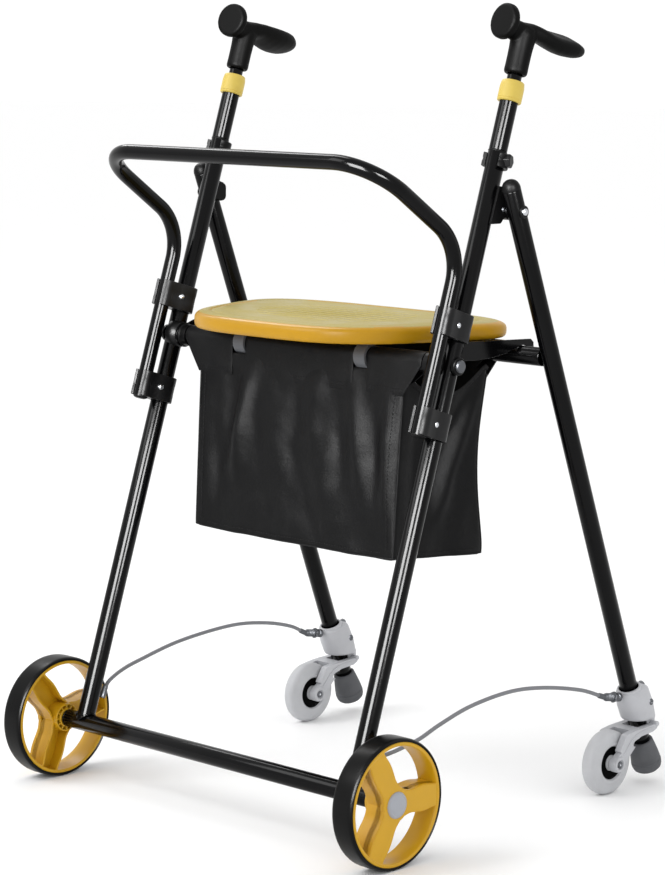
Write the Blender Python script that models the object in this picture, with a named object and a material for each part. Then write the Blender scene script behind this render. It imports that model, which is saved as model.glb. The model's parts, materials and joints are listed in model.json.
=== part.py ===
"""Folding rollator with a seat, a front back-rest bar, a bag and a pressure
brake.  Metres, +Z up, +X to the user's right, -Y to the front (the small
braked casters are at +Y).  The origin is on the floor under the middle."""
import math
import bpy
import bmesh
from mathutils import Matrix, Vector

for old in list(bpy.data.objects):
    bpy.data.objects.remove(old, do_unlink=True)

MM = 0.001

# ------------------------------------------------------------ main sizes (mm)
Y_MID = 223.76           # the floor point under the middle of the object
WHEEL_R = 75.0           # front wheel
WHEEL_IN, WHEEL_OUT = 266.3, 296.3
LEG_X = 229.5            # centre lines of the two front legs
LEG_R = 11.0
LEG_TILT = math.radians(17.68)
LEG_TOP = 749.4          # distance up the leg from the axle
REAR_X = 256.0
REAR_R = 11.0
REAR_TILT = math.radians(21.40)
REAR_REF = (259.9, 650.0)     # a point (y, z) on the rear legs' axis
HINGE_Z = 721.5
CROSS_Z = 548.0          # height of both cross tubes
SEAT_HALF = 186.0        # half width of the seat at its middle
PRESS = 8.0              # travel of the pressure brake
ARM_GAP = math.radians(8.25)
CASTER_R = 40.0
CASTER_Y, CASTER_Z = 423.0, 40.0
ARM_PIVOT = (497.0, 79.0)
GAP = 0.3

U = Vector((0, math.sin(LEG_TILT), math.cos(LEG_TILT)))      # up the leg
N = Vector((0, -math.cos(LEG_TILT), math.sin(LEG_TILT)))     # forward of it
D = Vector((0, math.sin(REAR_TILT), -math.cos(REAR_TILT)))   # down the rear leg


def on_leg(side, s, ahead=0.0, x=LEG_X):
    return Vector((side * x, 0, WHEEL_R)) + U * s + N * ahead


def on_rear(side, z, x=REAR_X):
    return Vector((side * x, REAR_REF[0] + (REAR_REF[1] - z) * math.tan(REAR_TILT), z))


# ------------------------------------------------------------------ materials
def material(name, colour, rough, metal=0.0):
    m = bpy.data.materials.new(name)
    m.use_nodes = True
    p = m.node_tree.nodes["Principled BSDF"]
    p.inputs["Base Color"].default_value = (*colour, 1)
    p.inputs["Roughness"].default_value = rough
    p.inputs["Metallic"].default_value = metal
    m.diffuse_color = (*colour, 1)
    return m


COLOURS = {
    "black_paint": ((0.012, 0.012, 0.013), 0.22, 0.3),
    "black_plastic": ((0.02, 0.02, 0.021), 0.5, 0.0),
    "mustard": ((0.60, 0.33, 0.03), 0.35, 0.0),
    "pale_yellow": ((0.72, 0.55, 0.14), 0.4, 0.0),
    "grey_plastic": ((0.45, 0.46, 0.47), 0.45, 0.0),
    "mid_grey": ((0.2, 0.2, 0.2), 0.6, 0.0),
    "rubber": ((0.012, 0.012, 0.012), 0.75, 0.0),
    "foot_rubber": ((0.14, 0.14, 0.14), 0.8, 0.0),
    "steel": ((0.55, 0.55, 0.56), 0.3, 1.0),
    "cable": ((0.2, 0.2, 0.2), 0.55, 0.0),
    "fabric": ((0.022, 0.022, 0.024), 0.9, 0.0),
}


def paint(obj, kind):
    obj.data.materials.append(material(obj.name + "_" + kind, *COLOURS[kind]))


# -------------------------------------------------------------- mesh builders
root = bpy.data.objects.new("frame_origin", None)
bpy.context.collection.objects.link(root)
root.location = (0, -Y_MID * MM, 0)


def empty(name, point):
    e = bpy.data.objects.new(name, None)
    bpy.context.collection.objects.link(e)
    e.parent = root
    e.location = Vector(point) * MM
    return e


def place(ob, matrix, parent):
    m = matrix.copy() if matrix else Matrix.Identity(4)
    m.translation = m.translation * MM
    if parent is None:
        ob.parent = root
        ob.matrix_local = m
    else:
        ob.parent = parent
        ob.matrix_local = Matrix.Translation(-parent.location) @ m


def solid(name, bm, kind, matrix=None, parent=None, smooth=35):
    """The bmesh made an object, placed by matrix (mm) in the object's frame."""
    bmesh.ops.recalc_face_normals(bm, faces=bm.faces)
    if bm.calc_volume(signed=True) < 0:
        bmesh.ops.reverse_faces(bm, faces=bm.faces)
    me = bpy.data.meshes.new(name)
    bm.to_mesh(me)
    bm.free()
    me.shade_smooth()
    me.set_sharp_from_angle(angle=math.radians(smooth))
    ob = bpy.data.objects.new(name, me)
    bpy.context.collection.objects.link(ob)
    place(ob, matrix, parent)
    paint(ob, kind)
    return ob


def wire(name, points, radius, resolution, kind, matrix=None, parent=None):
    """Round bar along points: a bevelled curve with filled caps."""
    curve = bpy.data.curves.new(name, "CURVE")
    curve.dimensions = "3D"
    curve.bevel_depth = radius * MM
    curve.bevel_resolution = resolution
    curve.use_fill_caps = True
    line = curve.splines.new("POLY")
    line.points.add(len(points) - 1)
    for point, v in zip(line.points, points):
        point.co = (*(Vector(v) * MM), 1)
    ob = bpy.data.objects.new(name, curve)
    bpy.context.collection.objects.link(ob)
    place(ob, matrix, parent)
    paint(ob, kind)
    return ob


def frame_at(point, zdir, xdir=(1, 0, 0)):
    z = Vector(zdir).normalized()
    x = Vector(xdir)
    if abs(z.dot(x)) > 0.95:
        x = Vector((0, 0, 1))
    x = (x - z * x.dot(z)).normalized()
    y = z.cross(x)
    m = Matrix((x, y, z)).transposed().to_4x4()
    m.translation = Vector(point)
    return m


def lathe(profile, segs, ring=False, phase=0.5):
    """Turned shape about local Z. profile is [(r, h)]; ring closes the loop."""
    bm = bmesh.new()
    a = 2 * math.pi * phase / segs
    verts = [bm.verts.new(Vector((r * math.cos(a), r * math.sin(a), h)) * MM) for r, h in profile]
    pairs = list(zip(verts[:-1], verts[1:])) + ([(verts[-1], verts[0])] if ring else [])
    edges = [bm.edges.new(pair) for pair in pairs]
    bmesh.ops.spin(bm, geom=verts + edges, cent=(0, 0, 0), axis=(0, 0, 1), angle=2 * math.pi,
                   steps=segs, use_merge=True)
    bmesh.ops.remove_doubles(bm, verts=bm.verts, dist=1e-6)
    bmesh.ops.dissolve_degenerate(bm, edges=bm.edges, dist=1e-7)
    return bm


def pipe(outer, inner, low, high, segs=16):
    return lathe([(outer, low), (outer, high), (inner, high), (inner, low)], segs, True)


def rod(radius, low, high, segs=16):
    bm = bmesh.new()
    bmesh.ops.create_cone(bm, cap_ends=True, segments=segs, radius1=radius * MM, radius2=radius * MM,
                          depth=(high - low) * MM)
    bmesh.ops.translate(bm, verts=bm.verts, vec=(0, 0, (low + high) / 2 * MM))
    return bm


def rounded(corners, steps=3):
    """Closed outline of (a, b, radius) corners, each rounded by an arc."""
    out = []
    n = len(corners)
    for i in range(n):
        p0 = Vector(corners[i - 1][:2])
        p = Vector(corners[i][:2])
        p1 = Vector(corners[(i + 1) % n][:2])
        r = corners[i][2]
        if r <= 0:
            out.append((p.x, p.y))
            continue
        d0, d1 = (p0 - p).normalized(), (p1 - p).normalized()
        half = d0.angle(d1) / 2
        t = r / math.tan(half)
        c = p + (d0 + d1).normalized() * (r / math.sin(half))
        a0, a1 = p + d0 * t - c, p + d1 * t - c
        ang = math.atan2(a0.x * a1.y - a0.y * a1.x, a0.dot(a1))
        for k in range(steps + 1):
            q = ang * k / steps
            v = c + Vector((a0.x * math.cos(q) - a0.y * math.sin(q),
                            a0.x * math.sin(q) + a0.y * math.cos(q)))
            out.append((v.x, v.y))
    return out


def slab(outline, x0, x1):
    """A (y, z) outline extruded to a plate between two X planes."""
    bm = bmesh.new()
    face = bm.faces.new([bm.verts.new(Vector((x0, y, z)) * MM) for y, z in outline])
    out = bmesh.ops.extrude_face_region(bm, geom=[face], use_keep_orig=True)
    fresh = [v for v in out["geom"] if isinstance(v, bmesh.types.BMVert)]
    bmesh.ops.translate(bm, verts=fresh, vec=((x1 - x0) * MM, 0, 0))
    return bm


def stack(loops):
    """Closed skin through equal loops of points, each extruded to the next."""
    bm = bmesh.new()
    ring = [bm.verts.new(Vector(p) * MM) for p in loops[0]]
    bm.faces.new(ring)
    for loop in loops[1:]:
        edges = [bm.edges.get((ring[i - 1], ring[i])) for i in range(len(ring))]
        out = bmesh.ops.extrude_edge_only(bm, edges=edges)
        fresh = {v for v in out["geom"] if isinstance(v, bmesh.types.BMVert)}
        ring = [next(e.other_vert(v) for e in v.link_edges if e.other_vert(v) in fresh) for v in ring]
        for v, point in zip(ring, loop):
            v.co = Vector(point) * MM
    bm.faces.new(ring)
    return bm


def cutter(name, bm, matrix=None):
    ob = solid(name, bm, "steel", matrix)
    ob.hide_render = True
    ob.display_type = "WIRE"
    return ob


def boolean(ob, tool, how="DIFFERENCE"):
    m = ob.modifiers.new(how.lower(), "BOOLEAN")
    m.operation = how
    m.solver = "EXACT"
    m.object = tool
    return m


# ---------------------------------------------------------------- front frame
for side, tag in ((-1, "l"), (1, "r")):
    up = frame_at(on_leg(side, 0), U)
    leg = solid("front_leg_" + tag, pipe(LEG_R, 10.0, 3.0, LEG_TOP), "black_paint", up)
    boolean(leg, cutter("cope_" + tag, rod(LEG_R + GAP, -30, 30, 24),
                        frame_at((side * LEG_X, 0, WHEEL_R), (1, 0, 0), U)))
    boolean(leg, cutter("pivot_hole_" + tag, rod(4.4, -30, 30, 12),
                        frame_at((side * LEG_X, (CROSS_Z - WHEEL_R) * math.tan(LEG_TILT), CROSS_Z), (1, 0, 0))))

PIVOT_Y = (CROSS_Z - WHEEL_R) * math.tan(LEG_TILT)
along_x = frame_at((0, 0, WHEEL_R), (1, 0, 0), U)
solid("front_axle_tube", pipe(LEG_R, 9.4, -257.5, 257.5), "black_paint", along_x)
solid("front_axle_rod", rod(5.0, -290.5, 290.5, 16), "steel", along_x)
solid("front_cross_tube", pipe(11.0, 9.4, -218.0, 218.0),
      "black_paint", frame_at((0, PIVOT_Y, CROSS_Z), (1, 0, 0), U))
solid("seat_pivot_rod", lathe([(0, -248.6), (5.6, -248.6), (7.4, -247.4), (7.4, -245.2), (4.0, -245.2),
                                (4.0, 245.2), (7.4, 245.2), (7.4, 247.4), (5.6, 248.6), (0, 248.6)], 16),
      "steel", frame_at((0, PIVOT_Y, CROSS_Z), (1, 0, 0)))

# the back-rest bar: two straight feet along the legs, then up and forward
BACK_X, BACK_AHEAD, BACK_R = 233.0, 30.0, 9.0


def bent(corners, radii, steps):
    """Polyline through corners with circular bends."""
    pts = [Vector(corners[0])]
    for i in range(1, len(corners) - 1):
        p0, p, p1 = (Vector(corners[k]) for k in (i - 1, i, i + 1))
        d0, d1 = (p0 - p).normalized(), (p1 - p).normalized()
        half = d0.angle(d1) / 2
        r = radii[i - 1]
        t = r / math.tan(half)
        c = p + (d0 + d1).normalized() * (r / math.sin(half))
        a0, a1 = p + d0 * t - c, p + d1 * t - c
        axis = a0.cross(a1).normalized()
        ang = a0.angle(a1)
        for k in range(steps + 1):
            pts.append(c + Matrix.Rotation(ang * k / steps, 3, axis) @ a0)
    pts.append(Vector(corners[-1]))
    return pts


low_r = on_leg(1, 409.0, BACK_AHEAD, BACK_X)
knee_r = on_leg(1, 629.0, BACK_AHEAD, BACK_X)
top_r = Vector((226.5, 20.3, 779.4))


def mirror_x(v):
    return Vector((-v.x, v.y, v.z))


path = bent([low_r, knee_r, top_r, mirror_x(top_r), mirror_x(knee_r), mirror_x(low_r)],
            [58.0, 62.0, 62.0, 58.0], 6)
wire("backrest_tube", path, BACK_R, 3, "black_paint")


def clip_outline():
    """Section of a clip: it rings the leg and holds the bar in an open C.
    Given as (x, ahead) round the leg's centre, the bar sits at BACK_AHEAD."""
    dx = BACK_X - LEG_X
    pts = []
    for k in range(9):               # round the back of the leg
        a = math.radians(-8 - 164 * k / 8)
        pts.append((15.2 * math.cos(a), 15.2 * math.sin(a)))
    pts.append((-13.6, 14.0))
    for k in range(4):               # outer side of the open C, left
        a = math.radians(190 - 65 * k / 3)
        pts.append((dx + 12.6 * math.cos(a), BACK_AHEAD + 12.6 * math.sin(a)))
    for k in range(9):               # inside the C, all the way round
        a = math.radians(125 + 290 * k / 8)
        pts.append((dx + 9.4 * math.cos(a), BACK_AHEAD + 9.4 * math.sin(a)))
    for k in range(4):
        a = math.radians(55 - 65 * k / 3)
        pts.append((dx + 12.6 * math.cos(a), BACK_AHEAD + 12.6 * math.sin(a)))
    pts.append((13.6, 14.0))
    return pts


for side, tag in ((-1, "l"), (1, "r")):
    for where, s, height in (("upper", 541.0, 32.0), ("lower", 425.0, 32.0)):
        m = frame_at(on_leg(side, s), U, (1, 0, 0))       # local y is backwards
        outline = clip_outline()
        loops = []
        for h in (-height / 2, height / 2):
            loops.append([(side * x, -y, h) for x, y in outline])
        clip = solid("backrest_clip_%s_%s" % (where, tag), stack(loops), "black_plastic", m)
        boolean(clip, cutter("clip_bore_%s_%s" % (where, tag), rod(LEG_R + GAP, -40, 40, 24), m))
        boolean(clip, cutter("clip_seat_%s_%s" % (where, tag), rod(BACK_R + GAP, -40, 40, 24),
                             frame_at(on_leg(side, s, BACK_AHEAD, BACK_X), U, (1, 0, 0))))

# brackets that carry the rear legs' hinge
HINGE_Y = on_rear(1, HINGE_Z).y
for side, tag in ((-1, "l"), (1, "r")):
    leg_y = (HINGE_Z - WHEEL_R) * math.tan(LEG_TILT)
    outline = rounded([(leg_y - 16.5, HINGE_Z - 21, 3), (leg_y + 11, HINGE_Z - 17, 4),
                       (HINGE_Y - 2, HINGE_Z - 11, 3), (HINGE_Y + 10, HINGE_Z - 9, 6),
                       (HINGE_Y + 10, HINGE_Z + 9, 6), (HINGE_Y - 4, HINGE_Z + 11, 5),
                       (leg_y + 17, HINGE_Z + 26, 5), (leg_y - 3, HINGE_Z + 28, 3)], 3)
    x0, x1 = sorted((side * (LEG_X + 2.0), side * 244.4))
    bracket = solid("hinge_bracket_" + tag, slab(outline, x0, x1), "black_plastic")
    boolean(bracket, cutter("bracket_bore_" + tag, rod(LEG_R + GAP, -80, 80, 24),
                            frame_at(on_leg(side, (HINGE_Z - WHEEL_R) / math.cos(LEG_TILT)), U)))
    boolean(bracket, cutter("bracket_hole_" + tag, rod(4.0, -40, 40, 12),
                            frame_at((side * REAR_X, HINGE_Y, HINGE_Z), (1, 0, 0))))
    solid("hinge_bolt_" + tag, lathe([(0, -21.0), (6.5, -21.0), (6.5, -24.8 + 8.2), (3.6, -24.8 + 8.2),
                                       (3.6, 11.5), (6.8, 11.5), (6.8, 13.2), (4.4, 15.0), (0, 15.4)], 16),
          "steel", frame_at((side * REAR_X, HINGE_Y, HINGE_Z), (side, 0, 0)))
    boolean(bracket, cutter("bracket_nut_" + tag, rod(7.2, -40.0, -16.0, 16),
                            frame_at((side * REAR_X, HINGE_Y, HINGE_Z), (side, 0, 0))))

# height clamp at each leg's mouth: an open collar with a hexagonal boss
for side, tag in ((-1, "l"), (1, "r")):
    pts = []
    for k in range(19):
        a = math.radians(-38 + 256 * k / 18)
        pts.append((side * 15.6 * math.cos(a), 15.6 * math.sin(a)))
    for k in range(19):
        a = math.radians(218 - 256 * k / 18)
        pts.append((side * 11.35 * math.cos(a), 11.35 * math.sin(a)))
    m = frame_at(on_leg(side, LEG_TOP - 11), U, (1, 0, 0))
    collar = solid("height_clamp_" + tag, stack([[(x, y, h) for x, y in pts] for h in (-8.0, 8.0)]),
                   "black_plastic", m)
    boss = cutter("clamp_boss_" + tag, lathe([(0, 11.9), (7.6, 11.9), (7.6, 18.2), (6.2, 19.8), (0, 19.8)], 6),
                  frame_at(on_leg(side, LEG_TOP - 11), (side, 0.35, 0), U))
    boolean(collar, boss, "UNION")

# -------------------------------------------------- handle tubes and handles
for side, tag in ((-1, "l"), (1, "r")):
    tube_axis = empty("height_slide_" + tag, on_leg(side, LEG_TOP))
    up = frame_at(on_leg(side, 0), U)
    profile = [(9.65, 560.0), (9.65, LEG_TOP + 0.2), (10.8, LEG_TOP + 0.5), (10.8, 822.0),
               (9.0, 822.0), (9.0, 640.0), (0, 640.0), (0, 632.0), (8.4, 632.0), (8.4, 560.0)]
    solid("handle_tube_" + tag, lathe(profile, 16, True), "black_paint", up, tube_axis)
    solid("tube_collar_" + tag,
          lathe([(11.1, 808.2), (13.6, 808.2), (14.3, 809.4), (14.3, 826.0), (13.2, 832.2), (12.2, 832.8),
                  (8.85, 832.8), (8.85, 822.4), (11.1, 822.4)], 16, True), "pale_yellow", up, tube_axis)
    press_axis = empty("brake_press_" + tag, on_leg(side, 841.0))
    solid("post_" + tag, pipe(8.5, 7.0, 700.0, 868.0, 16), "black_paint", up, press_axis)
    # return spring between the tube's seat and the post
    coil = []
    turns, per = 6, 6
    for i in range(turns * per + 1):
        a = 2 * math.pi * i / per
        coil.append((6.6 * math.cos(a), 6.6 * math.sin(a), 641.8 + (698.2 - 641.8) * i / (turns * per)))
    wire("press_spring_" + tag, coil, 1.0, 0, "steel", up, tube_axis)

    # grip: neck, front flange and the anatomical hand rest
    neck = [(8.85, 841.2), (12.4, 841.2), (13.9, 843.0), (13.5, 858.0), (12.6, 872.0), (11.6, 896.0), (0, 897.5)]
    grip = solid("grip_" + tag,
                 lathe([(0, 869.0), (8.85, 869.0)] + neck, 16), "black_plastic", up, press_axis)
    g0 = Vector((side * 223.6, 237.5, 938.6))
    g1 = Vector((side * 240.0, 363.0, 903.5))
    ax = (g1 - g0).normalized()
    gx = Vector((1, 0, 0))
    gx = (gx - ax * gx.dot(ax)).normalized()
    gz = gx.cross(ax)
    length = (g1 - g0).length
    #            along half-w half-up half-down roll
    stations = [(0.0, 18.0, 18.4, 18.4, 0), (1.6, 20.6, 21.0, 21.0, 0), (8.4, 20.8, 21.2, 21.2, 0),
                (11.4, 17.6, 18.2, 18.4, 0), (15.0, 12.8, 13.6, 14.8, 0), (30.0, 12.4, 12.0, 15.2, 2),
                (44.0, 14.5, 10.5, 13.4, 7), (58.0, 18.0, 9.6, 12.6, 14), (74.0, 20.6, 9.5, 12.4, 20),
                (96.0, 21.4, 9.3, 11.8, 22), (110.0, 19.8, 8.8, 10.8, 22), (120.0, 16.0, 7.4, 9.0, 22),
                (126.5, 11.0, 5.4, 6.2, 22), (length, 4.0, 2.2, 2.4, 22)]
    loops = []
    for t, hw, hu, hd, roll in stations:
        turn = -side * math.radians(roll)
        c = g0 + ax * t
        loop = []
        for k in range(16):
            a = 2 * math.pi * (k + 0.5) / 16
            ca, sa = math.cos(a), math.sin(a)
            n = 2.0 if t < 30 else 2.3
            rx = hw * math.copysign(abs(ca) ** (2 / n), ca)
            rz = (hu if sa > 0 else hd) * math.copysign(abs(sa) ** (2 / n), sa)
            loop.append(c + gx * (rx * math.cos(turn) - rz * math.sin(turn))
                        + gz * (rx * math.sin(turn) + rz * math.cos(turn)))
        loops.append(loop)
    boolean(grip, cutter("grip_body_" + tag, stack(loops)), "UNION")

# ------------------------------------------------------------------ rear frame
hinge = empty("frame_fold", (0, HINGE_Y, HINGE_Z))
CROSS_Y = on_rear(1, CROSS_Z).y
for side, tag in ((-1, "l"), (1, "r")):
    down = frame_at(on_rear(side, HINGE_Z), D)
    end = (HINGE_Z - 32.0) / math.cos(REAR_TILT)
    leg = solid("rear_leg_" + tag, pipe(REAR_R, 9.4, -27.0, end), "black_paint", down, hinge)
    boolean(leg, cutter("hinge_hole_" + tag, rod(4.0, -40, 40, 12),
                        frame_at((side * REAR_X, HINGE_Y, HINGE_Z), (1, 0, 0))))
    solid("rear_leg_cap_" + tag,
          lathe([(0, -39.4), (4.4, -38.5), (7.8, -36.2), (10.0, -32.6), (11.0, -28.6), (11.0, -27.3),
                  (9.0, -27.3), (9.0, -18.0), (0, -18.0)], 12), "black_plastic", down, hinge)
    # rubber foot, turned about the leg's axis
    foot_s = (HINGE_Z - 15.6) / math.cos(REAR_TILT)
    solid("rubber_foot_" + tag,
          lathe([(0, foot_s), (9.0, foot_s - 0.4), (15.0, foot_s - 3.0), (18.4, foot_s - 8.0),
                  (19.0, foot_s - 13.0), (17.6, foot_s - 24.0), (14.4, foot_s - 41.0), (13.2, foot_s - 43.0),
                  (11.3, foot_s - 43.0), (11.3, end + 0.4), (0, end + 0.4)], 16), "foot_rubber", down, hinge)
    # caster housing clamped on the leg
    outline = rounded([(453.5, 84.5, 3), (500.0, 84.5, 4), (502.0, 93.0, 4), (489.5, 123.0, 7),
                       (449.0, 128.0, 7), (446.5, 112.0, 4)], 3)
    x0, x1 = side * REAR_X - 19.0, side * REAR_X + 19.0
    loops = []
    for x, inset in ((x0, 3.0), (x0 + 1.6, 1.0), (x0 + 5.0, 0.0), (x1 - 5.0, 0.0), (x1 - 1.6, 1.0), (x1, 3.0)):
        cy, cz = 474.0, 105.0
        loops.append([(x, y + (cy - y) * inset / 23.0, z + (cz - z) * inset / 23.0) for y, z in outline])
    house = solid("caster_housing_" + tag, stack(loops), "grey_plastic", None, hinge)
    boolean(house, cutter("housing_bore_" + tag, rod(REAR_R + GAP, 400, 760, 24), down))
    # cable adjuster on the housing's front
    a0 = Vector((side * REAR_X, 446.2, 117.5))
    adir = Vector((0, -1, 0.16)).normalized()
    solid("cable_adjuster_" + tag,
          lathe([(2.0, 0.6), (5.2, 0.6), (5.2, 8.0), (4.4, 9.0), (4.4, 16.0), (5.0, 17.0), (5.0, 27.0),
                  (3.4, 30.0), (2.0, 30.0)], 12, True), "mid_grey", frame_at(a0, adir), hinge)
solid("rear_cross_tube", pipe(11.0, 9.4, -244.6, 244.6), "black_paint",
      frame_at((0, CROSS_Y, CROSS_Z), (1, 0, 0)), hinge)

# ------------------------------------- caster arms that rise when braking
for side, tag in ((-1, "l"), (1, "r")):
    pivot = empty("wheel_arm_" + tag, (side * REAR_X, ARM_PIVOT[0], ARM_PIVOT[1]))
    cx = side * REAR_X
    outline = [(465.6, 78.8), (464.4, 65.0), (455.4, 66.8), (452.6, 76.8)]
    arm = solid("caster_fork_" + tag, slab(outline, cx - 19.0, cx + 19.0), "grey_plastic", None, pivot)
    blade = [(501.0, 81.4), (497.0, 73.4), (490.0, 70.4), (466.0, 68.0), (453.0, 64.0), (441.0, 50.0)]
    blade += [(CASTER_Y + 10 * math.cos(math.radians(q)), CASTER_Z + 10 * math.sin(math.radians(q)))
              for q in range(-10, -215, -30)]
    blade += [(421.0, 51.0), (437.0, 74.6), (454.0, 76.9)]
    for n, (xa, xb) in enumerate(((-21.0, -12.2), (12.2, 21.0))):
        boolean(arm, cutter("blade_%d_%s" % (n, tag), slab(blade, cx + xa, cx + xb)), "UNION")
        boolean(arm, cutter("boss_%d_%s" % (n, tag), rod(9.2, min(xa, xb) if n else -24.0, 24.0 if n else -11.7, 16),
                            frame_at((cx, CASTER_Y, CASTER_Z), (1, 0, 0))), "UNION")
    boolean(arm, cutter("fork_bore_" + tag, rod(3.8, -40, 40, 12),
                        frame_at((cx, CASTER_Y, CASTER_Z), (1, 0, 0))))
    solid("caster_axle_" + tag, rod(3.4, -23.6, 23.6, 12),
          "steel", frame_at((cx, CASTER_Y, CASTER_Z), (1, 0, 0)), pivot)
    spin = empty("rear_wheel_spin_" + tag, (cx, CASTER_Y, CASTER_Z))
    solid("rear_wheel_" + tag,
          lathe([(3.8, -10.9), (12.6, -10.9), (14.2, -6.6), (20.0, -6.6), (21.0, -9.2), (34.4, -9.4),
                  (CASTER_R, -4.6), (CASTER_R, 4.6), (34.4, 9.4), (21.0, 9.2),
                  (20.0, 6.6), (14.2, 6.6), (12.6, 10.9), (3.8, 10.9)], 24, True, 0.0),
          "grey_plastic", frame_at((cx, CASTER_Y, CASTER_Z), (1, 0, 0)), spin)

# --------------------------------------------------------------- front wheels
WMID = (WHEEL_IN + WHEEL_OUT) / 2
for side, tag in ((-1, "l"), (1, "r")):
    spin = empty("front_wheel_spin_" + tag, (side * WMID, 0, WHEEL_R))
    m = frame_at((side * WMID, 0, WHEEL_R), (side, 0, 0), (0, 0, 1))   # local +z outboard
    solid("front_tyre_" + tag,
          lathe([(71.1, -14.6), (72.8, -14.9), (75.0, -10.5), (75.0, 10.5),
                  (72.8, 14.9), (71.1, 14.6)], 40, True, 0.0), "rubber", m, spin)
    rim = solid("front_rim_" + tag,
                lathe([(5.4, -19.4), (15.6, -19.4), (17.0, -18.0), (17.2, 6.0), (64.6, 6.0), (66.2, -14.6),
                        (69.6, -14.6), (70.6, -13.6), (70.6, 13.6), (69.6, 14.6), (65.0, 14.0),
                        (18.0, 13.2), (17.0, 12.4), (5.4, 12.4)], 32, True, 0.0), "mustard", m, spin)
    # windows between three nearly straight spokes
    for k in range(3):
        mid = 120 * k + (-30 if side > 0 else 21)
        wide = [(66.0, 12.0), (50.0, 15.0), (35.0, 16.0), (25.0, 16.0), (21.0, 16.4)]
        half = [(r, 60 - math.degrees(math.asin(h / r))) for r, h in wide]
        edge = [(r, mid + q) for r, q in half] + [(20.6, mid)] + [(r, mid - q) for r, q in half[::-1]]
        edge += [(66.0, mid - half[0][1] * t) for t in (0.66, 0.33, 0.0, -0.33, -0.66)]
        hole = [(r * math.cos(math.radians(q)), r * math.sin(math.radians(q))) for r, q in edge]
        boolean(rim, cutter("window_%d_%s" % (k, tag),
                            stack([[(x, y, h) for x, y in hole] for h in (-30.0, 30.0)]), m))
    solid("hub_cap_" + tag,
          lathe([(0, 12.8), (14.0, 12.8), (15.2, 13.6), (15.2, 15.2), (13.0, 17.4), (0, 18.0)], 16),
          "grey_plastic", m, spin)

# ----------------------------------------------------------------------- seat
seat_axis = empty("seat_hinge", (0, PIVOT_Y, CROSS_Z))
SEAT_Y, SEAT_HALF_Y, SEAT_TAPER, SEAT_N = 193.0, 131.0, 0.24, 3.6
SEAT_LOW = 567.6
loops = []
for z, inset in ((0.0, 7.0), (2.0, 1.6), (7.0, 0.0), (13.5, 0.3), (17.5, 2.6), (20.6, 9.0)):
    loop = []
    for k in range(36):
        a = 2 * math.pi * k / 36
        c, s = math.cos(a), math.sin(a)
        x = (SEAT_HALF - inset) * math.copysign(abs(c) ** (2 / SEAT_N), c)
        y = (SEAT_HALF_Y - inset) * math.copysign(abs(s) ** (2 / SEAT_N), s)
        loop.append((x * (1 + SEAT_TAPER * y / SEAT_HALF_Y), SEAT_Y + y, SEAT_LOW + z))
    loops.append(loop)
solid("seat_plate", stack(loops), "mustard", None, seat_axis)

for side, tag in ((-1, "l"), (1, "r")):
    # grey hooks under the front of the seat, round the front cross tube
    arc = []
    for k in range(13):
        a = math.radians(96 + 150 * k / 12)
        arc.append((PIVOT_Y + 11.6 * math.cos(a), CROSS_Z + 11.6 * math.sin(a)))
    for k in range(13):
        a = math.radians(246 - 130 * k / 12)
        arc.append((PIVOT_Y + 15.6 * math.cos(a), CROSS_Z + 15.6 * math.sin(a)))
    arc += [(PIVOT_Y - 10.0, SEAT_LOW - GAP), (PIVOT_Y + 6.0, SEAT_LOW - GAP), (PIVOT_Y + 6.0, CROSS_Z + 13.6)]
    cx = side * 101.0
    solid("seat_hook_" + tag, slab(arc, cx - 9.0, cx + 9.0), "mid_grey", None, seat_axis)
    # side bars: an eye round the front cross tube, a hook over the rear one,
    # and a flange under the seat
    eye = [(PIVOT_Y + 15.4 * math.cos(math.radians(q)), CROSS_Z + 15.4 * math.sin(math.radians(q)))
           for q in range(70, 315, 30)]
    notch = [(CROSS_Y + 11.6 * math.cos(math.radians(q)), CROSS_Z + 11.6 * math.sin(math.radians(q)))
             for q in range(112, -1, -16)]
    bar = (eye + [(178.0, CROSS_Z + 1.2), (214.0, CROSS_Z - 0.4), (240.0, CROSS_Z + 0.2), (270.0, CROSS_Z + 4.0),
                  (290.0, CROSS_Z + 9.6)]
           + notch + [(CROSS_Y + 11.9, CROSS_Z - 11.0), (CROSS_Y + 18.0, CROSS_Z - 10.0), (CROSS_Y + 20.0, CROSS_Z - 2.0),
                      (CROSS_Y + 19.0, CROSS_Z + 14.0), (CROSS_Y + 14.0, CROSS_Z + 18.2), (188.0, CROSS_Z + 22.6),
                      (176.0, CROSS_Z + 21.6)])
    x0, x1 = sorted((side * 210.4, side * 213.4))
    b = solid("seat_bar_" + tag, slab(bar, x0, x1), "black_paint", None, seat_axis)
    x0, x1 = sorted((side * 176.0, side * 212.0))
    boolean(b, cutter("bar_flange_" + tag, slab([(198.0, SEAT_LOW - 3.2), (272.0, SEAT_LOW - 3.2),
                                                  (272.0, SEAT_LOW - GAP), (198.0, SEAT_LOW - GAP)], x0, x1)), "UNION")
    boolean(b, cutter("bar_hole_" + tag, rod(11.4, -300, 300, 20), frame_at((0, PIVOT_Y, CROSS_Z), (1, 0, 0))))

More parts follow.
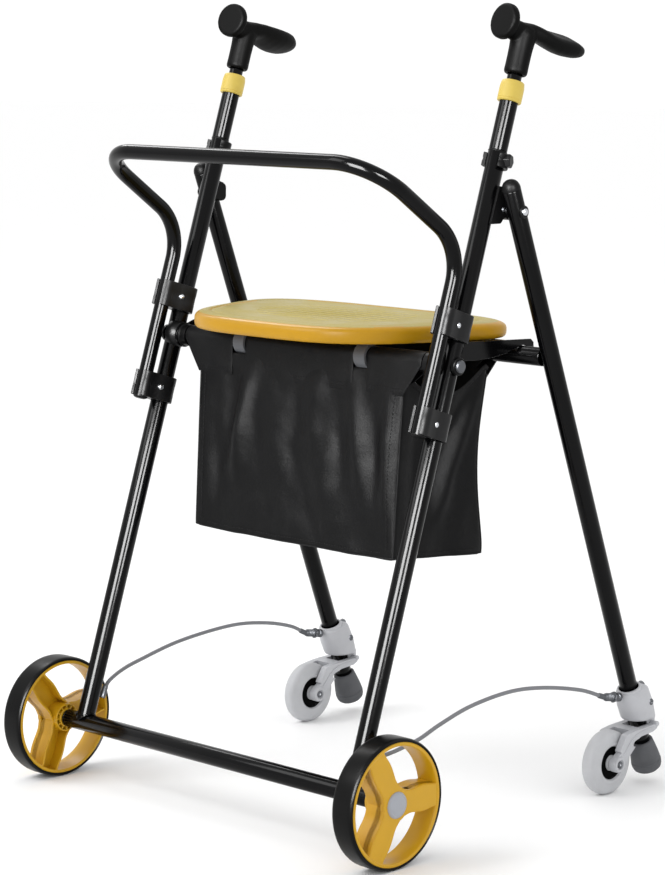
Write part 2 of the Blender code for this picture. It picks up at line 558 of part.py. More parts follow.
# ------------------------------------------------------------------------ bag
# front, sides and floor in one open shell; the back panel hangs from the rear tube
front_top, front_low = (143.6, 531.2), (127.0, 318.0)
rear_low = (288.0, 306.0)
outer = [front_top, front_low, (132.0, 311.0), (283.0, 304.0), (285.4, 306.0), (292.8, 522.0), (262.0, 506.0),
         (224.0, 500.0), (186.0, 508.0), (156.0, 527.0), (148.6, 531.2)]
bag = solid("bag_body", slab(outer, -169.0, 169.0), "fabric")
inner = [(147.2, 560.0), (147.0, 532.0), (130.2, 318.6), (133.6, 314.2), (320.0, 306.4), (330.0, 560.0)]
boolean(bag, cutter("bag_hollow", slab(inner, -166.4, 166.4)))
back = [(296.0, 535.8), (292.6, 522.0), (286.0, 306.6), (288.6, 306.4), (295.8, 521.0), (300.0, 535.8)]
solid("bag_back", slab([(y + 0.6, z) for y, z in back], -169.0, 169.0), "fabric")

# ---------------------------------------------------------------- brake cables
ROUTES = {
    "l": [(-229.5, 29.6, 104.0), (-229.5, 33.5, 112.0), (-229.6, 41.0, 121.0), (-230, 62, 131.0), (-231.5, 93, 138.7),
          (-235, 166, 152), (-243, 262, 156.5), (-250, 330, 149.5), (-254.5, 385, 136.5), (-256, 415.6, 122.6)],
    "r": [(229.5, 27.6, 98.0), (229.5, 32.0, 104.5), (229.6, 45.0, 109.5), (230, 70, 112.5), (230.5, 107, 119.0),
          (232, 142, 131), (237, 190, 145.5), (244.5, 250, 154), (250, 305, 151.0), (254.5, 370, 138.5),
          (256, 415.6, 122.6)],
}


def smooth_route(points, step):
    """Points every step mm along a Catmull-Rom curve through the route."""
    pts = [Vector(p) for p in points]
    pts = [pts[0] * 2 - pts[1]] + pts + [pts[-1] * 2 - pts[-2]]
    dense = []
    for i in range(1, len(pts) - 2):
        p0, p1, p2, p3 = pts[i - 1:i + 3]
        for k in range(24):
            t = k / 24
            dense.append(0.5 * ((2 * p1) + (p2 - p0) * t + (2 * p0 - 5 * p1 + 4 * p2 - p3) * t * t
                                + (3 * p1 - p0 - 3 * p2 + p3) * t ** 3))
    dense.append(pts[-2])
    out, carry = [dense[0]], 0.0
    for a, b in zip(dense[:-1], dense[1:]):
        carry += (b - a).length
        if carry >= step:
            out.append(b)
            carry = 0.0
    if (out[-1] - dense[-1]).length < step / 2:
        out.pop()
    return out + [dense[-1]]


for tag, route in ROUTES.items():
    pts = smooth_route(route, 13.0)
    wire("brake_cable_" + tag, pts, 2.4, 1, "cable")
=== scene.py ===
import json
import math
import bpy
import bmesh
from mathutils import Matrix, Vector, noise

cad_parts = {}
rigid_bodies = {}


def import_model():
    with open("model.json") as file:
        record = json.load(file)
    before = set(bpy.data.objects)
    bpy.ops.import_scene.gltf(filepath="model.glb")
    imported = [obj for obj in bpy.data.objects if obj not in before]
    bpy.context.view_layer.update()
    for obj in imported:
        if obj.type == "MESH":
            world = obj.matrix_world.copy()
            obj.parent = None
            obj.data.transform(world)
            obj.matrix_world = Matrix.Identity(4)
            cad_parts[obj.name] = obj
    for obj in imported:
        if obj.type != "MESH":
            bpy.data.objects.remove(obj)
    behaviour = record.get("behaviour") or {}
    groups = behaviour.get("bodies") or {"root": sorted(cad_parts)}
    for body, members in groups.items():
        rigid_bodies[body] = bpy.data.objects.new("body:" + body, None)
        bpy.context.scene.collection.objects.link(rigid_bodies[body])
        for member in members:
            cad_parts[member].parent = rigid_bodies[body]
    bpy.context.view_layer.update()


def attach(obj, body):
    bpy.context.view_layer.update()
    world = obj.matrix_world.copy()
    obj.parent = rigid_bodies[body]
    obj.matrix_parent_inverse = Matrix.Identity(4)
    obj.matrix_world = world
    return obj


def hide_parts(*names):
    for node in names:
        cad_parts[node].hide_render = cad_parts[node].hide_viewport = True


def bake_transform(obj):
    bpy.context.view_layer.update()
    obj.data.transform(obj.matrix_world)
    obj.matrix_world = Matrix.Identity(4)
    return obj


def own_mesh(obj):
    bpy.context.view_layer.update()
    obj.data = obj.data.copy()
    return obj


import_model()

# ------------------------------------------------------------ sizes, as in the CAD (mm)
YM = 223.76
WHEEL_R = 75.0
WMID = 281.3
LEG_X, LEG_R = 229.5, 11.0
LEG_TILT = math.radians(17.68)
LEG_TOP = 749.4
REAR_X = 256.0
REAR_TILT = math.radians(21.40)
HINGE_Z, CROSS_Z = 721.5, 548.0
CASTER_Y, CASTER_Z, CASTER_R = 423.0, 40.0, 40.0
BACK_X, BACK_AHEAD, BACK_R = 233.0, 30.0, 9.0
SEAT_HALF = 186.0
SEAT_LOW = 567.6
U = Vector((0, math.sin(LEG_TILT), math.cos(LEG_TILT)))
N = Vector((0, -math.cos(LEG_TILT), math.sin(LEG_TILT)))
D = Vector((0, math.sin(REAR_TILT), -math.cos(REAR_TILT)))
PIVOT_Y = (CROSS_Z - WHEEL_R) * math.tan(LEG_TILT)


def on_leg(side, s, ahead=0.0, x=LEG_X):
    return Vector((side * x, 0, WHEEL_R)) + U * s + N * ahead


def on_rear(side, z, x=REAR_X):
    return Vector((side * x, 259.9 + (650.0 - z) * math.tan(REAR_TILT), z))


HINGE_Y = on_rear(1, HINGE_Z).y
CROSS_Y = on_rear(1, CROSS_Z).y
PAIRS = ((-1, "l"), (1, "r"))


def row(v):
    """Millimetres of the build frame to metres of the row frame."""
    return Vector((v[0], v[1] - YM, v[2])) * 0.001


# ------------------------------------------------------------------ materials
def lin(*rgb):
    return tuple((c / 255 / 12.92) if c <= 10 else ((c / 255 + 0.055) / 1.055) ** 2.4 for c in rgb)


def link(tree, a, b):
    tree.links.new(a, b)


def finish(name, colour, rough, metal=0.0, spec=0.5, grain=0.0015, bump=0.15, depth=0.00008, vary=0.08,
           rough_vary=0.06, patch=9.0, coat=0.0, coat_rough=0.08, sheen=0.0, stretch=(1, 1, 1), pale_edges=0.0, fleck=0.0):
    """Paint or moulded plastic: a fine grain in the bump and the roughness, and slow changes of tone."""
    m = bpy.data.materials.new(name)
    m.use_nodes = True
    t = m.node_tree
    p = t.nodes["Principled BSDF"]
    p.inputs["Metallic"].default_value = metal
    p.inputs["Specular IOR Level"].default_value = spec
    p.inputs["Coat Weight"].default_value = coat
    p.inputs["Coat Roughness"].default_value = coat_rough
    p.inputs["Sheen Weight"].default_value = sheen
    co = t.nodes.new("ShaderNodeTexCoord")
    mp = t.nodes.new("ShaderNodeMapping")
    mp.inputs["Scale"].default_value = stretch
    link(t, co.outputs["Object"], mp.inputs["Vector"])
    fine = t.nodes.new("ShaderNodeTexNoise")
    fine.inputs["Scale"].default_value = 1 / grain
    fine.inputs["Detail"].default_value = 3
    slow = t.nodes.new("ShaderNodeTexNoise")
    slow.inputs["Scale"].default_value = patch
    slow.inputs["Detail"].default_value = 5
    slow.inputs["Roughness"].default_value = 0.6
    link(t, mp.outputs["Vector"], fine.inputs["Vector"])
    link(t, co.outputs["Object"], slow.inputs["Vector"])
    tone = t.nodes.new("ShaderNodeMapRange")
    tone.inputs["From Min"].default_value = 0.3
    tone.inputs["From Max"].default_value = 0.7
    if fleck:
        part = t.nodes.new("ShaderNodeMix")
        part.inputs["Factor"].default_value = fleck
        link(t, slow.outputs["Fac"], part.inputs["A"])
        link(t, fine.outputs["Fac"], part.inputs["B"])
        link(t, part.outputs["Result"], tone.inputs["Value"])
    else:
        link(t, slow.outputs["Fac"], tone.inputs["Value"])
    mix = t.nodes.new("ShaderNodeMix")
    mix.data_type = "RGBA"
    mix.inputs["A"].default_value = (*[c * (1 - vary) for c in colour], 1)
    mix.inputs["B"].default_value = (*[min(1, c * (1 + vary)) for c in colour], 1)
    link(t, tone.outputs["Result"], mix.inputs["Factor"])
    last = mix.outputs["Result"]
    # optionally the colour is made lighter on sharp convex edges, found by Pointiness
    if pale_edges:
        geo = t.nodes.new("ShaderNodeNewGeometry")
        ramp = t.nodes.new("ShaderNodeMapRange")
        ramp.inputs["From Min"].default_value = 0.53
        ramp.inputs["From Max"].default_value = 0.62
        link(t, geo.outputs["Pointiness"], ramp.inputs["Value"])
        edge_paling = t.nodes.new("ShaderNodeMath")
        edge_paling.operation = "MULTIPLY"
        edge_paling.inputs[1].default_value = pale_edges
        link(t, ramp.outputs["Result"], edge_paling.inputs[0])
        edge = t.nodes.new("ShaderNodeMix")
        edge.data_type = "RGBA"
        edge.inputs["B"].default_value = (*[min(1, c * 1.35 + 0.03) for c in colour], 1)
        link(t, last, edge.inputs["A"])
        link(t, edge_paling.outputs[0], edge.inputs["Factor"])
        last = edge.outputs["Result"]
    link(t, last, p.inputs["Base Color"])
    rr = t.nodes.new("ShaderNodeMapRange")
    rr.inputs["From Min"].default_value = 0.3
    rr.inputs["From Max"].default_value = 0.7
    rr.inputs["To Min"].default_value = max(0.02, rough - rough_vary)
    rr.inputs["To Max"].default_value = min(1, rough + rough_vary)
    link(t, slow.outputs["Fac"], rr.inputs["Value"])
    link(t, rr.outputs["Result"], p.inputs["Roughness"])
    b = t.nodes.new("ShaderNodeBump")
    b.inputs["Strength"].default_value = bump
    b.inputs["Distance"].default_value = depth
    link(t, fine.outputs["Fac"], b.inputs["Height"])
    link(t, b.outputs["Normal"], p.inputs["Normal"])
    m.diffuse_color = (*colour, 1)
    return m


def cloth(name, colour, pitch=0.0011, depth=0.00022, rough=0.78, sheen=0.25, slope=0.0):
    """Plain weave of two thread directions, with slow soft creasing and a faint sheen."""
    m = bpy.data.materials.new(name)
    m.use_nodes = True
    t = m.node_tree
    p = t.nodes["Principled BSDF"]
    p.inputs["Specular IOR Level"].default_value = 0.085
    p.inputs["Sheen Weight"].default_value = sheen
    p.inputs["Sheen Roughness"].default_value = 0.4
    co = t.nodes.new("ShaderNodeTexCoord")
    sp = t.nodes.new("ShaderNodeSeparateXYZ")
    link(t, co.outputs["Object"], sp.inputs[0])
    add = t.nodes.new("ShaderNodeMath")
    link(t, sp.outputs["X"], add.inputs[0])
    link(t, sp.outputs["Y"], add.inputs[1])
    cb = t.nodes.new("ShaderNodeCombineXYZ")
    link(t, add.outputs[0], cb.inputs["X"])
    link(t, sp.outputs["Z"], cb.inputs["Y"])
    waves = []
    for axis in ("X", "Y"):
        w = t.nodes.new("ShaderNodeTexWave")
        w.wave_type = "BANDS"
        w.bands_direction = axis
        w.inputs["Scale"].default_value = 2 * math.pi / (20 * pitch)
        w.inputs["Distortion"].default_value = 0.35
        w.inputs["Detail"].default_value = 1
        link(t, cb.outputs[0], w.inputs["Vector"])
        waves.append(w)
    weave = t.nodes.new("ShaderNodeMath")
    weave.operation = "MULTIPLY"
    link(t, waves[0].outputs["Fac"], weave.inputs[0])
    link(t, waves[1].outputs["Fac"], weave.inputs[1])
    slow = t.nodes.new("ShaderNodeTexNoise")
    slow.inputs["Scale"].default_value = 34
    slow.inputs["Detail"].default_value = 5
    link(t, co.outputs["Object"], slow.inputs["Vector"])
    fleck = t.nodes.new("ShaderNodeTexNoise")
    fleck.inputs["Scale"].default_value = 420
    fleck.inputs["Detail"].default_value = 2
    link(t, co.outputs["Object"], fleck.inputs["Vector"])
    both = t.nodes.new("ShaderNodeMath")
    both.operation = "MULTIPLY_ADD"
    link(t, weave.outputs[0], both.inputs[0])
    both.inputs[1].default_value = 0.55
    link(t, fleck.outputs["Fac"], both.inputs[2])
    mix = t.nodes.new("ShaderNodeMix")
    mix.data_type = "RGBA"
    mix.inputs["A"].default_value = (*[c * 0.72 for c in colour], 1)
    mix.inputs["B"].default_value = (*[c * 1.35 for c in colour], 1)
    link(t, both.outputs[0], mix.inputs["Factor"])
    link(t, mix.outputs["Result"], p.inputs["Base Color"])
    rr = t.nodes.new("ShaderNodeMapRange")
    rr.inputs["To Min"].default_value = rough - 0.1
    rr.inputs["To Max"].default_value = min(1, rough + 0.1)
    link(t, slow.outputs["Fac"], rr.inputs["Value"])
    link(t, rr.outputs["Result"], p.inputs["Roughness"])
    b1 = t.nodes.new("ShaderNodeBump")
    b1.inputs["Strength"].default_value = 0.5
    b1.inputs["Distance"].default_value = 0.0022
    link(t, slow.outputs["Fac"], b1.inputs["Height"])
    b2 = t.nodes.new("ShaderNodeBump")
    b2.inputs["Strength"].default_value = 0.7
    b2.inputs["Distance"].default_value = depth
    link(t, both.outputs[0], b2.inputs["Height"])
    link(t, b1.outputs["Normal"], b2.inputs["Normal"])
    link(t, b2.outputs["Normal"], p.inputs["Normal"])
    m.diffuse_color = (*colour, 1)
    return m


PAINT = finish("black_gloss_paint", lin(5, 5, 6), 0.15, spec=0.12, grain=0.009, bump=0.003, depth=0.00003,
               vary=0.2, rough_vary=0.03)
MATTE = finish("black_moulded_plastic", lin(9, 9, 10), 0.38, spec=0.09, grain=0.0007, bump=0.3, depth=0.00005,
               vary=0.15, pale_edges=0.3)
GRIP = finish("black_soft_grip", lin(7, 7, 7), 0.46, spec=0.05, grain=0.0009, bump=0.35, depth=0.00008,
              vary=0.15, rough_vary=0.08)
CLIP = finish("clip_satin_plastic", lin(18, 18, 19), 0.33, spec=0.16, grain=0.0009, bump=0.25, depth=0.00006,
              vary=0.15, pale_edges=0.5)
MUSTARD = finish("mustard_moulding", lin(197, 143, 22), 0.33, spec=0.4, grain=0.0011, bump=0.2, depth=0.00008,
                 vary=0.05, pale_edges=0.15)
WHEEL = finish("wheel_moulding", lin(196, 150, 16), 0.38, spec=0.35, grain=0.0009, bump=0.2, depth=0.00006,
               vary=0.07, pale_edges=0.2)
SEATEDGE = finish("seat_edge_moulding", lin(184, 137, 16), 0.34, spec=0.24, grain=0.0016, bump=0.25, depth=0.0001,
                  vary=0.06, patch=16.0)
# seat top: real grain, with a paler khaki base colour that is painted sheen, the grazing reflection on the top
SEAT_TOP_PAINTED_SHEEN = finish("seat_top_grain_painted_sheen", lin(168, 152, 74), 0.48, spec=0.36, grain=0.0034, bump=0.9, depth=0.0007,
                 vary=0.1, patch=26.0, rough_vary=0.12, fleck=0.5)
YELLOW = finish("pale_yellow_moulding", lin(206, 181, 84), 0.40, spec=0.3, grain=0.0008, bump=0.2, vary=0.06, patch=30.0)
GREY = finish("light_grey_moulding", lin(180, 181, 185), 0.42, spec=0.4, grain=0.0009, bump=0.3, depth=0.00008,
              vary=0.07, patch=24.0, pale_edges=0.2)
TREAD = finish("grey_tread", lin(184, 185, 188), 0.5, spec=0.3, grain=0.0012, bump=0.3, depth=0.0001, vary=0.07,
               patch=24.0)
CAPGREY = finish("cap_grey_moulding", lin(158, 161, 168), 0.45, spec=0.35, grain=0.0009, bump=0.3, vary=0.05)
MIDGREY = finish("mid_grey_moulding", lin(112, 114, 118), 0.5, spec=0.3, grain=0.0009, bump=0.3, vary=0.08, pale_edges=0.2)
HOOK = finish("dark_grey_moulding", lin(92, 94, 98), 0.45, spec=0.3, grain=0.0009, bump=0.3, vary=0.1)
FOOT = finish("foot_rubber", lin(90, 91, 94), 0.7, spec=0.2, grain=0.0014, bump=0.5, depth=0.00015, vary=0.14, patch=30.0)
TYRE = finish("tyre_rubber", lin(7, 7, 7), 0.3, spec=0.09, grain=0.0016, bump=0.3, depth=0.0001, vary=0.25)
STEEL = finish("bright_steel", lin(190, 192, 196), 0.22, metal=1.0, grain=0.0006, bump=0.15, vary=0.06,
               stretch=(1, 1, 14))
DARKSTEEL = finish("dark_steel", lin(84, 86, 90), 0.4, metal=0.6, grain=0.0007, bump=0.3, vary=0.15)
CABLE = finish("cable_jacket", lin(122, 123, 127), 0.5, spec=0.3, grain=0.001, bump=0.3, vary=0.06)
# near-black fill: painted shadow in the caster wheel recesses, and the black of the housing seal
SEAL_AND_SHADE_BLACK = finish("black_seal_and_painted_shade", lin(5, 5, 5), 0.8, spec=0.05, grain=0.001, bump=0.2)
FABRIC = cloth("bag_cloth", lin(6, 6, 7), rough=0.43, sheen=0.02)
HEM = cloth("hem_cloth", lin(7, 7, 8), pitch=0.0009, rough=0.46, sheen=0.02)
TAPE = cloth("binding_tape", lin(20, 20, 21), pitch=0.0016, depth=0.0003, rough=0.6, sheen=0.02)
THREAD = finish("sewing_thread", lin(30, 30, 31), 0.7, spec=0.1, grain=0.0004, bump=0.5, depth=0.00005)


# -------------------------------------------------------------- mesh builders
def frame_at(point, zdir, xdir=(1, 0, 0)):
    z = Vector(zdir).normalized()
    x = Vector(xdir)
    if abs(z.dot(x)) > 0.95:
        x = Vector((0, 0, 1))
    x = (x - z * x.dot(z)).normalized()
    y = z.cross(x)
    m = Matrix((x, y, z)).transposed().to_4x4()
    m.translation = Vector(point)
    return m


def lathe(profile, segs=48, ring=False, phase=0.5, bm=None, matrix=None):
    """Turned shape about local Z; added to bm where one is given."""
    made = bmesh.new()
    a = 2 * math.pi * phase / segs
    verts = [made.verts.new((r * math.cos(a), r * math.sin(a), h)) for r, h in profile]
    pairs = list(zip(verts[:-1], verts[1:])) + ([(verts[-1], verts[0])] if ring else [])
    edges = [made.edges.new(pair) for pair in pairs]
    bmesh.ops.spin(made, geom=verts + edges, cent=(0, 0, 0), axis=(0, 0, 1), angle=2 * math.pi,
                   steps=segs, use_merge=True)
    bmesh.ops.remove_doubles(made, verts=made.verts, dist=1e-4)
    return merged(bm, made, matrix)


def merged(bm, made, matrix=None, index=0):
    if matrix is not None:
        bmesh.ops.transform(made, matrix=matrix, verts=made.verts)
    if bm is None:
        if index:
            for f in made.faces:
                f.material_index = index
        return made
    bmesh.ops.recalc_face_normals(made, faces=made.faces)
    for f in made.faces:
        f.material_index = index
    temp = bpy.data.meshes.new("temp")
    made.to_mesh(temp)
    made.free()
    bm.from_mesh(temp)
    bpy.data.meshes.remove(temp)
    return bm


def pipe(outer, inner, low, high, segs=48, chamfer=0.5):
    return lathe([(outer, low + chamfer), (outer, high - chamfer), (outer - chamfer * 0.6, high),
                  (inner, high), (inner, low), (outer - chamfer * 0.6, low)], segs, True)


def rod(radius, low, high, segs=48, edge=0.4):
    return lathe([(0, low), (radius - edge, low), (radius, low + edge), (radius, high - edge),
                  (radius - edge, high), (0, high)], segs)


def rounded(corners, steps=6):
    """Closed outline of (a, b, radius) corners, each rounded by an arc."""
    out = []
    n = len(corners)
    for i in range(n):
        p0, p, p1 = Vector(corners[i - 1][:2]), Vector(corners[i][:2]), Vector(corners[(i + 1) % n][:2])
        r = corners[i][2]
        if r <= 0:
            out.append((p.x, p.y))
            continue
        d0, d1 = (p0 - p).normalized(), (p1 - p).normalized()
        half = d0.angle(d1) / 2
        t = r / math.tan(half)
        c = p + (d0 + d1).normalized() * (r / math.sin(half))
        a0, a1 = p + d0 * t - c, p + d1 * t - c
        ang = math.atan2(a0.x * a1.y - a0.y * a1.x, a0.dot(a1))
        for k in range(steps + 1):
            q = ang * k / steps
            out.append((c.x + a0.x * math.cos(q) - a0.y * math.sin(q), c.y + a0.x * math.sin(q) + a0.y * math.cos(q)))
    return out


def slab(outline, x0, x1):
    """A (y, z) outline extruded between two X planes."""
    bm = bmesh.new()
    face = bm.faces.new([bm.verts.new((x0, y, z)) for y, z in outline])
    out = bmesh.ops.extrude_face_region(bm, geom=[face], use_keep_orig=True)
    fresh = [v for v in out["geom"] if isinstance(v, bmesh.types.BMVert)]
    bmesh.ops.translate(bm, verts=fresh, vec=(x1 - x0, 0, 0))
    return bm


def skin(loops, closed=True, caps=True, bm=None):
    """Quads through equal loops of points."""
    bm = bm or bmesh.new()
    rings = [[bm.verts.new(p) for p in loop] for loop in loops]
    n = len(rings[0])
    for a, b in zip(rings[:-1], rings[1:]):
        for i in range(n if closed else n - 1):
            j = (i + 1) % n
            bm.faces.new((a[i], a[j], b[j], b[i]))
    if caps and closed:
        bm.faces.new(rings[0][::-1])
        bm.faces.new(rings[-1])
    return bm


def sweep(points, radius, segs=28, closed=False, bm=None, index=0, wide=1.0, flat=1.0, first=(0, 0, 1)):
    """Tube along points; radius may be a list; wide and flat stretch its section."""
    pts = [Vector(p) for p in points]
    n = len(pts)
    rad = radius if isinstance(radius, (list, tuple)) else [radius] * n
    tan = []
    for i in range(n):
        if closed:
            tan.append((pts[(i + 1) % n] - pts[i - 1]).normalized())
        else:
            tan.append((pts[min(i + 1, n - 1)] - pts[max(i - 1, 0)]).normalized())
    ref = Vector(first)
    if abs(ref.dot(tan[0])) > 0.95:
        ref = Vector((1, 0, 0))
    nrm = (ref - tan[0] * ref.dot(tan[0])).normalized()
    loops = []
    for i in range(n):
        nrm = (nrm - tan[i] * nrm.dot(tan[i])).normalized()
        bi = tan[i].cross(nrm)
        loops.append([pts[i] + (nrm * (flat * math.cos(2 * math.pi * k / segs))
                                + bi * (wide * math.sin(2 * math.pi * k / segs))) * rad[i] for k in range(segs)])
    made = skin(loops + ([loops[0]] if closed else []), True, not closed)
    if closed:
        bmesh.ops.remove_doubles(made, verts=made.verts, dist=1e-4)
    return merged(bm, made, None, index) if bm is not None else made


def bent(corners, radii, steps=16):
    pts = [Vector(corners[0])]
    for i in range(1, len(corners) - 1):
        p0, p, p1 = (Vector(corners[k]) for k in (i - 1, i, i + 1))
        d0, d1 = (p0 - p).normalized(), (p1 - p).normalized()
        half = d0.angle(d1) / 2
        r = radii[i - 1]
        t = r / math.tan(half)
        c = p + (d0 + d1).normalized() * (r / math.sin(half))
        a0, a1 = p + d0 * t - c, p + d1 * t - c
        axis = a0.cross(a1).normalized()
        ang = a0.angle(a1)
        for k in range(steps + 1):
            pts.append(c + Matrix.Rotation(ang * k / steps, 3, axis) @ a0)
    pts.append(Vector(corners[-1]))
    return pts


def curve_through(points, step):
    pts = [Vector(p) for p in points]
    pts = [pts[0] * 2 - pts[1]] + pts + [pts[-1] * 2 - pts[-2]]
    dense = []
    for i in range(1, len(pts) - 2):
        p0, p1, p2, p3 = pts[i - 1:i + 3]
        for k in range(24):
            t = k / 24
            dense.append(0.5 * ((2 * p1) + (p2 - p0) * t + (2 * p0 - 5 * p1 + 4 * p2 - p3) * t * t
                                + (3 * p1 - p0 - 3 * p2 + p3) * t ** 3))
    dense.append(pts[-2])
    out, carry = [dense[0]], 0.0
    for a, b in zip(dense[:-1], dense[1:]):
        carry += (b - a).length
        if carry >= step:
            out.append(b)
            carry = 0.0
    if (out[-1] - dense[-1]).length < step / 2 and len(out) > 1:
        out.pop()
    return out + [dense[-1]]


def make(name, bm, mats, body="front_frame", nodes=(), matrix=None, bevel=0.0, steps=2, sub=0, angle=35, keep=False,
         normals=True):
    """The bmesh, in millimetres, made a piece that rides on its body."""
    if matrix is not None:
        bmesh.ops.transform(bm, matrix=matrix, verts=bm.verts)
    if normals:
        bmesh.ops.recalc_face_normals(bm, faces=bm.faces)
    for v in bm.verts:
        v.co = row(v.co)
    me = bpy.data.meshes.new(name)
    bm.to_mesh(me)
    bm.free()
    me.shade_smooth()
    me.set_sharp_from_angle(angle=math.radians(angle))
    ob = bpy.data.objects.new(name, me)
    bpy.context.collection.objects.link(ob)
    for m in (mats if isinstance(mats, (list, tuple)) else [mats]):
        me.materials.append(m)
    if bevel:
        b = ob.modifiers.new("edge", "BEVEL")
        b.width = bevel * 0.001
        b.segments = steps
        b.limit_method = "ANGLE"
        b.angle_limit = math.radians(35)
        b.harden_normals = True
    if sub:
        s = ob.modifiers.new("sub", "SUBSURF")
        s.levels = s.render_levels = sub
    if body:
        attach(ob, body)
    if nodes:
        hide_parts(*nodes)
    return ob


def carve(bm, tool, how="DIFFERENCE"):
    """A Boolean done at once on two bmeshes in millimetres; gives the result as a bmesh."""
    obs = []
    for b in (bm, tool):
        bmesh.ops.recalc_face_normals(b, faces=b.faces)
        me = bpy.data.meshes.new("work")
        b.to_mesh(me)
        b.free()
        o = bpy.data.objects.new("work", me)
        bpy.context.collection.objects.link(o)
        obs.append(o)
    m = obs[0].modifiers.new("b", "BOOLEAN")
    m.operation = how
    m.solver = "EXACT"
    m.object = obs[1]
    bpy.context.view_layer.update()
    got = bpy.data.meshes.new_from_object(obs[0].evaluated_get(bpy.context.evaluated_depsgraph_get()))
    out = bmesh.new()
    out.from_mesh(got)
    for o in obs:
        me = o.data
        bpy.data.objects.remove(o)
        bpy.data.meshes.remove(me)
    bpy.data.meshes.remove(got)
    return out


def moved(bm, matrix):
    bmesh.ops.transform(bm, matrix=matrix, verts=bm.verts)
    return bm


def remeshed(bm, voxel, smooth=6, factor=0.5):
    """The shapes of bm fused into one moulded skin."""
    bmesh.ops.recalc_face_normals(bm, faces=bm.faces)
    me = bpy.data.meshes.new("work")
    bm.to_mesh(me)
    bm.free()
    o = bpy.data.objects.new("work", me)
    bpy.context.collection.objects.link(o)
    r = o.modifiers.new("r", "REMESH")
    r.mode = "VOXEL"
    r.voxel_size = voxel
    if smooth:
        s = o.modifiers.new("s", "SMOOTH")
        s.iterations = smooth
        s.factor = factor
    bpy.context.view_layer.update()
    got = bpy.data.meshes.new_from_object(o.evaluated_get(bpy.context.evaluated_depsgraph_get()))
    out = bmesh.new()
    out.from_mesh(got)
    bpy.data.objects.remove(o)
    bpy.data.meshes.remove(me)
    bpy.data.meshes.remove(got)
    return out


def stitches(bm, points, pitch=4.4, length=2.7, radius=0.42, index=0):
    """Sewn thread: one small spindle for each stitch along points."""
    pts = [Vector(p) for p in points]
    cum = [0.0]
    for a, b in zip(pts[:-1], pts[1:]):
        cum.append(cum[-1] + (b - a).length)

    def at(d):
        d = max(0.0, min(cum[-1], d))
        for i in range(len(pts) - 1):
            if d <= cum[i + 1]:
                return pts[i].lerp(pts[i + 1], (d - cum[i]) / max(1e-9, cum[i + 1] - cum[i]))
        return pts[-1]

    for k in range(int(cum[-1] / pitch)):
        a, b = at((k + 0.15) * pitch), at((k + 0.15) * pitch + length)
        if (b - a).length > 0.5:
            sweep([a, a.lerp(b, 0.3), a.lerp(b, 0.7), b], [radius * 0.4, radius, radius, radius * 0.4], 6,
                  bm=bm, index=index)
    return bm


# ---------------------------------------------------------------- camera and light
scene = bpy.context.scene
scene.view_settings.view_transform = "Standard"
scene.view_settings.look = "None"
scene.view_settings.exposure = 0.0

az, el, roll = math.radians(43.82), math.radians(8.07), math.radians(0.634)
back = Vector((math.sin(az) * math.cos(el), -math.cos(az) * math.cos(el), math.sin(el)))
right = Vector((math.cos(az), math.sin(az), 0))
up = back.cross(right)
cr = right * math.cos(roll) + up * math.sin(roll)
cu = up * math.cos(roll) - right * math.sin(roll)
cam = bpy.data.objects.new("camera", bpy.data.cameras.new("camera"))
bpy.context.collection.objects.link(cam)
mw = Matrix((cr, cu, back)).transposed().to_4x4()
mw.translation = Vector((2.3026, -2.42476, 0.9078))
cam.matrix_world = mw
cam.data.sensor_fit = "HORIZONTAL"
cam.data.sensor_width = 36.0
cam.data.lens = 149.81
cam.data.clip_end = 200
scene.camera = cam

world = bpy.data.worlds.new("studio")
scene.world = world
world.use_nodes = True
world.node_tree.nodes["Background"].inputs["Color"].default_value = (1, 1, 1, 1)
world.node_tree.nodes["Background"].inputs["Strength"].default_value = 1.04


def area(name, where, aim, size, power, diffuse=True, colour=(1, 1, 1)):
    l = bpy.data.lights.new(name, "AREA")
    l.shape = "RECTANGLE"
    l.size, l.size_y = size
    l.energy = power
    l.color = colour
    o = bpy.data.objects.new(name, l)
    bpy.context.collection.objects.link(o)
    o.location = where
    d = Vector(aim) - Vector(where)
    o.rotation_euler = d.to_track_quat("-Z", "Y").to_euler()
    o.visible_diffuse = diffuse
    return o


GLOSS_LIGHTS = [area("strip_front", (0.95, -3.15, 1.62), (0.0, 0.0, 0.55), (1.7, 1.9), 690.0, False),
                area("strip_side", (3.0, -1.35, 1.62), (0.0, 0.0, 0.9), (1.1, 1.0), 240.0, False)]
area("soft_front", (0.95, -3.15, 1.62), (0.0, 0.0, 0.55), (1.4, 1.9), 62.0, False)
CLOTH_LIGHT = area("soft_rear", (-1.3, 2.9, 1.3), (0.0, 0.0, 0.42), (1.1, 1.5), 420.0, False)
area("overhead", (-1.5, 0.35, 2.7), (-0.1, 0.0, 0.7), (0.5, 2.2), 40.0, False)
area("key", (-1.4, -2.6, 2.9), (0.0, 0.0, 0.5), (1.8, 1.8), 60.0, True)

floor_bm = bmesh.new()
bmesh.ops.create_circle(floor_bm, cap_ends=True, segments=96, radius=40.0)
floor_me = bpy.data.meshes.new("studio_floor")
floor_bm.to_mesh(floor_me)
floor_bm.free()
floor = bpy.data.objects.new("studio_floor", floor_me)
bpy.context.collection.objects.link(floor)
floor_mat = finish("studio_floor", (0.96, 0.96, 0.96), 0.85, spec=0.1, grain=0.02, bump=0.02, vary=0.005)
floor_me.materials.append(floor_mat)

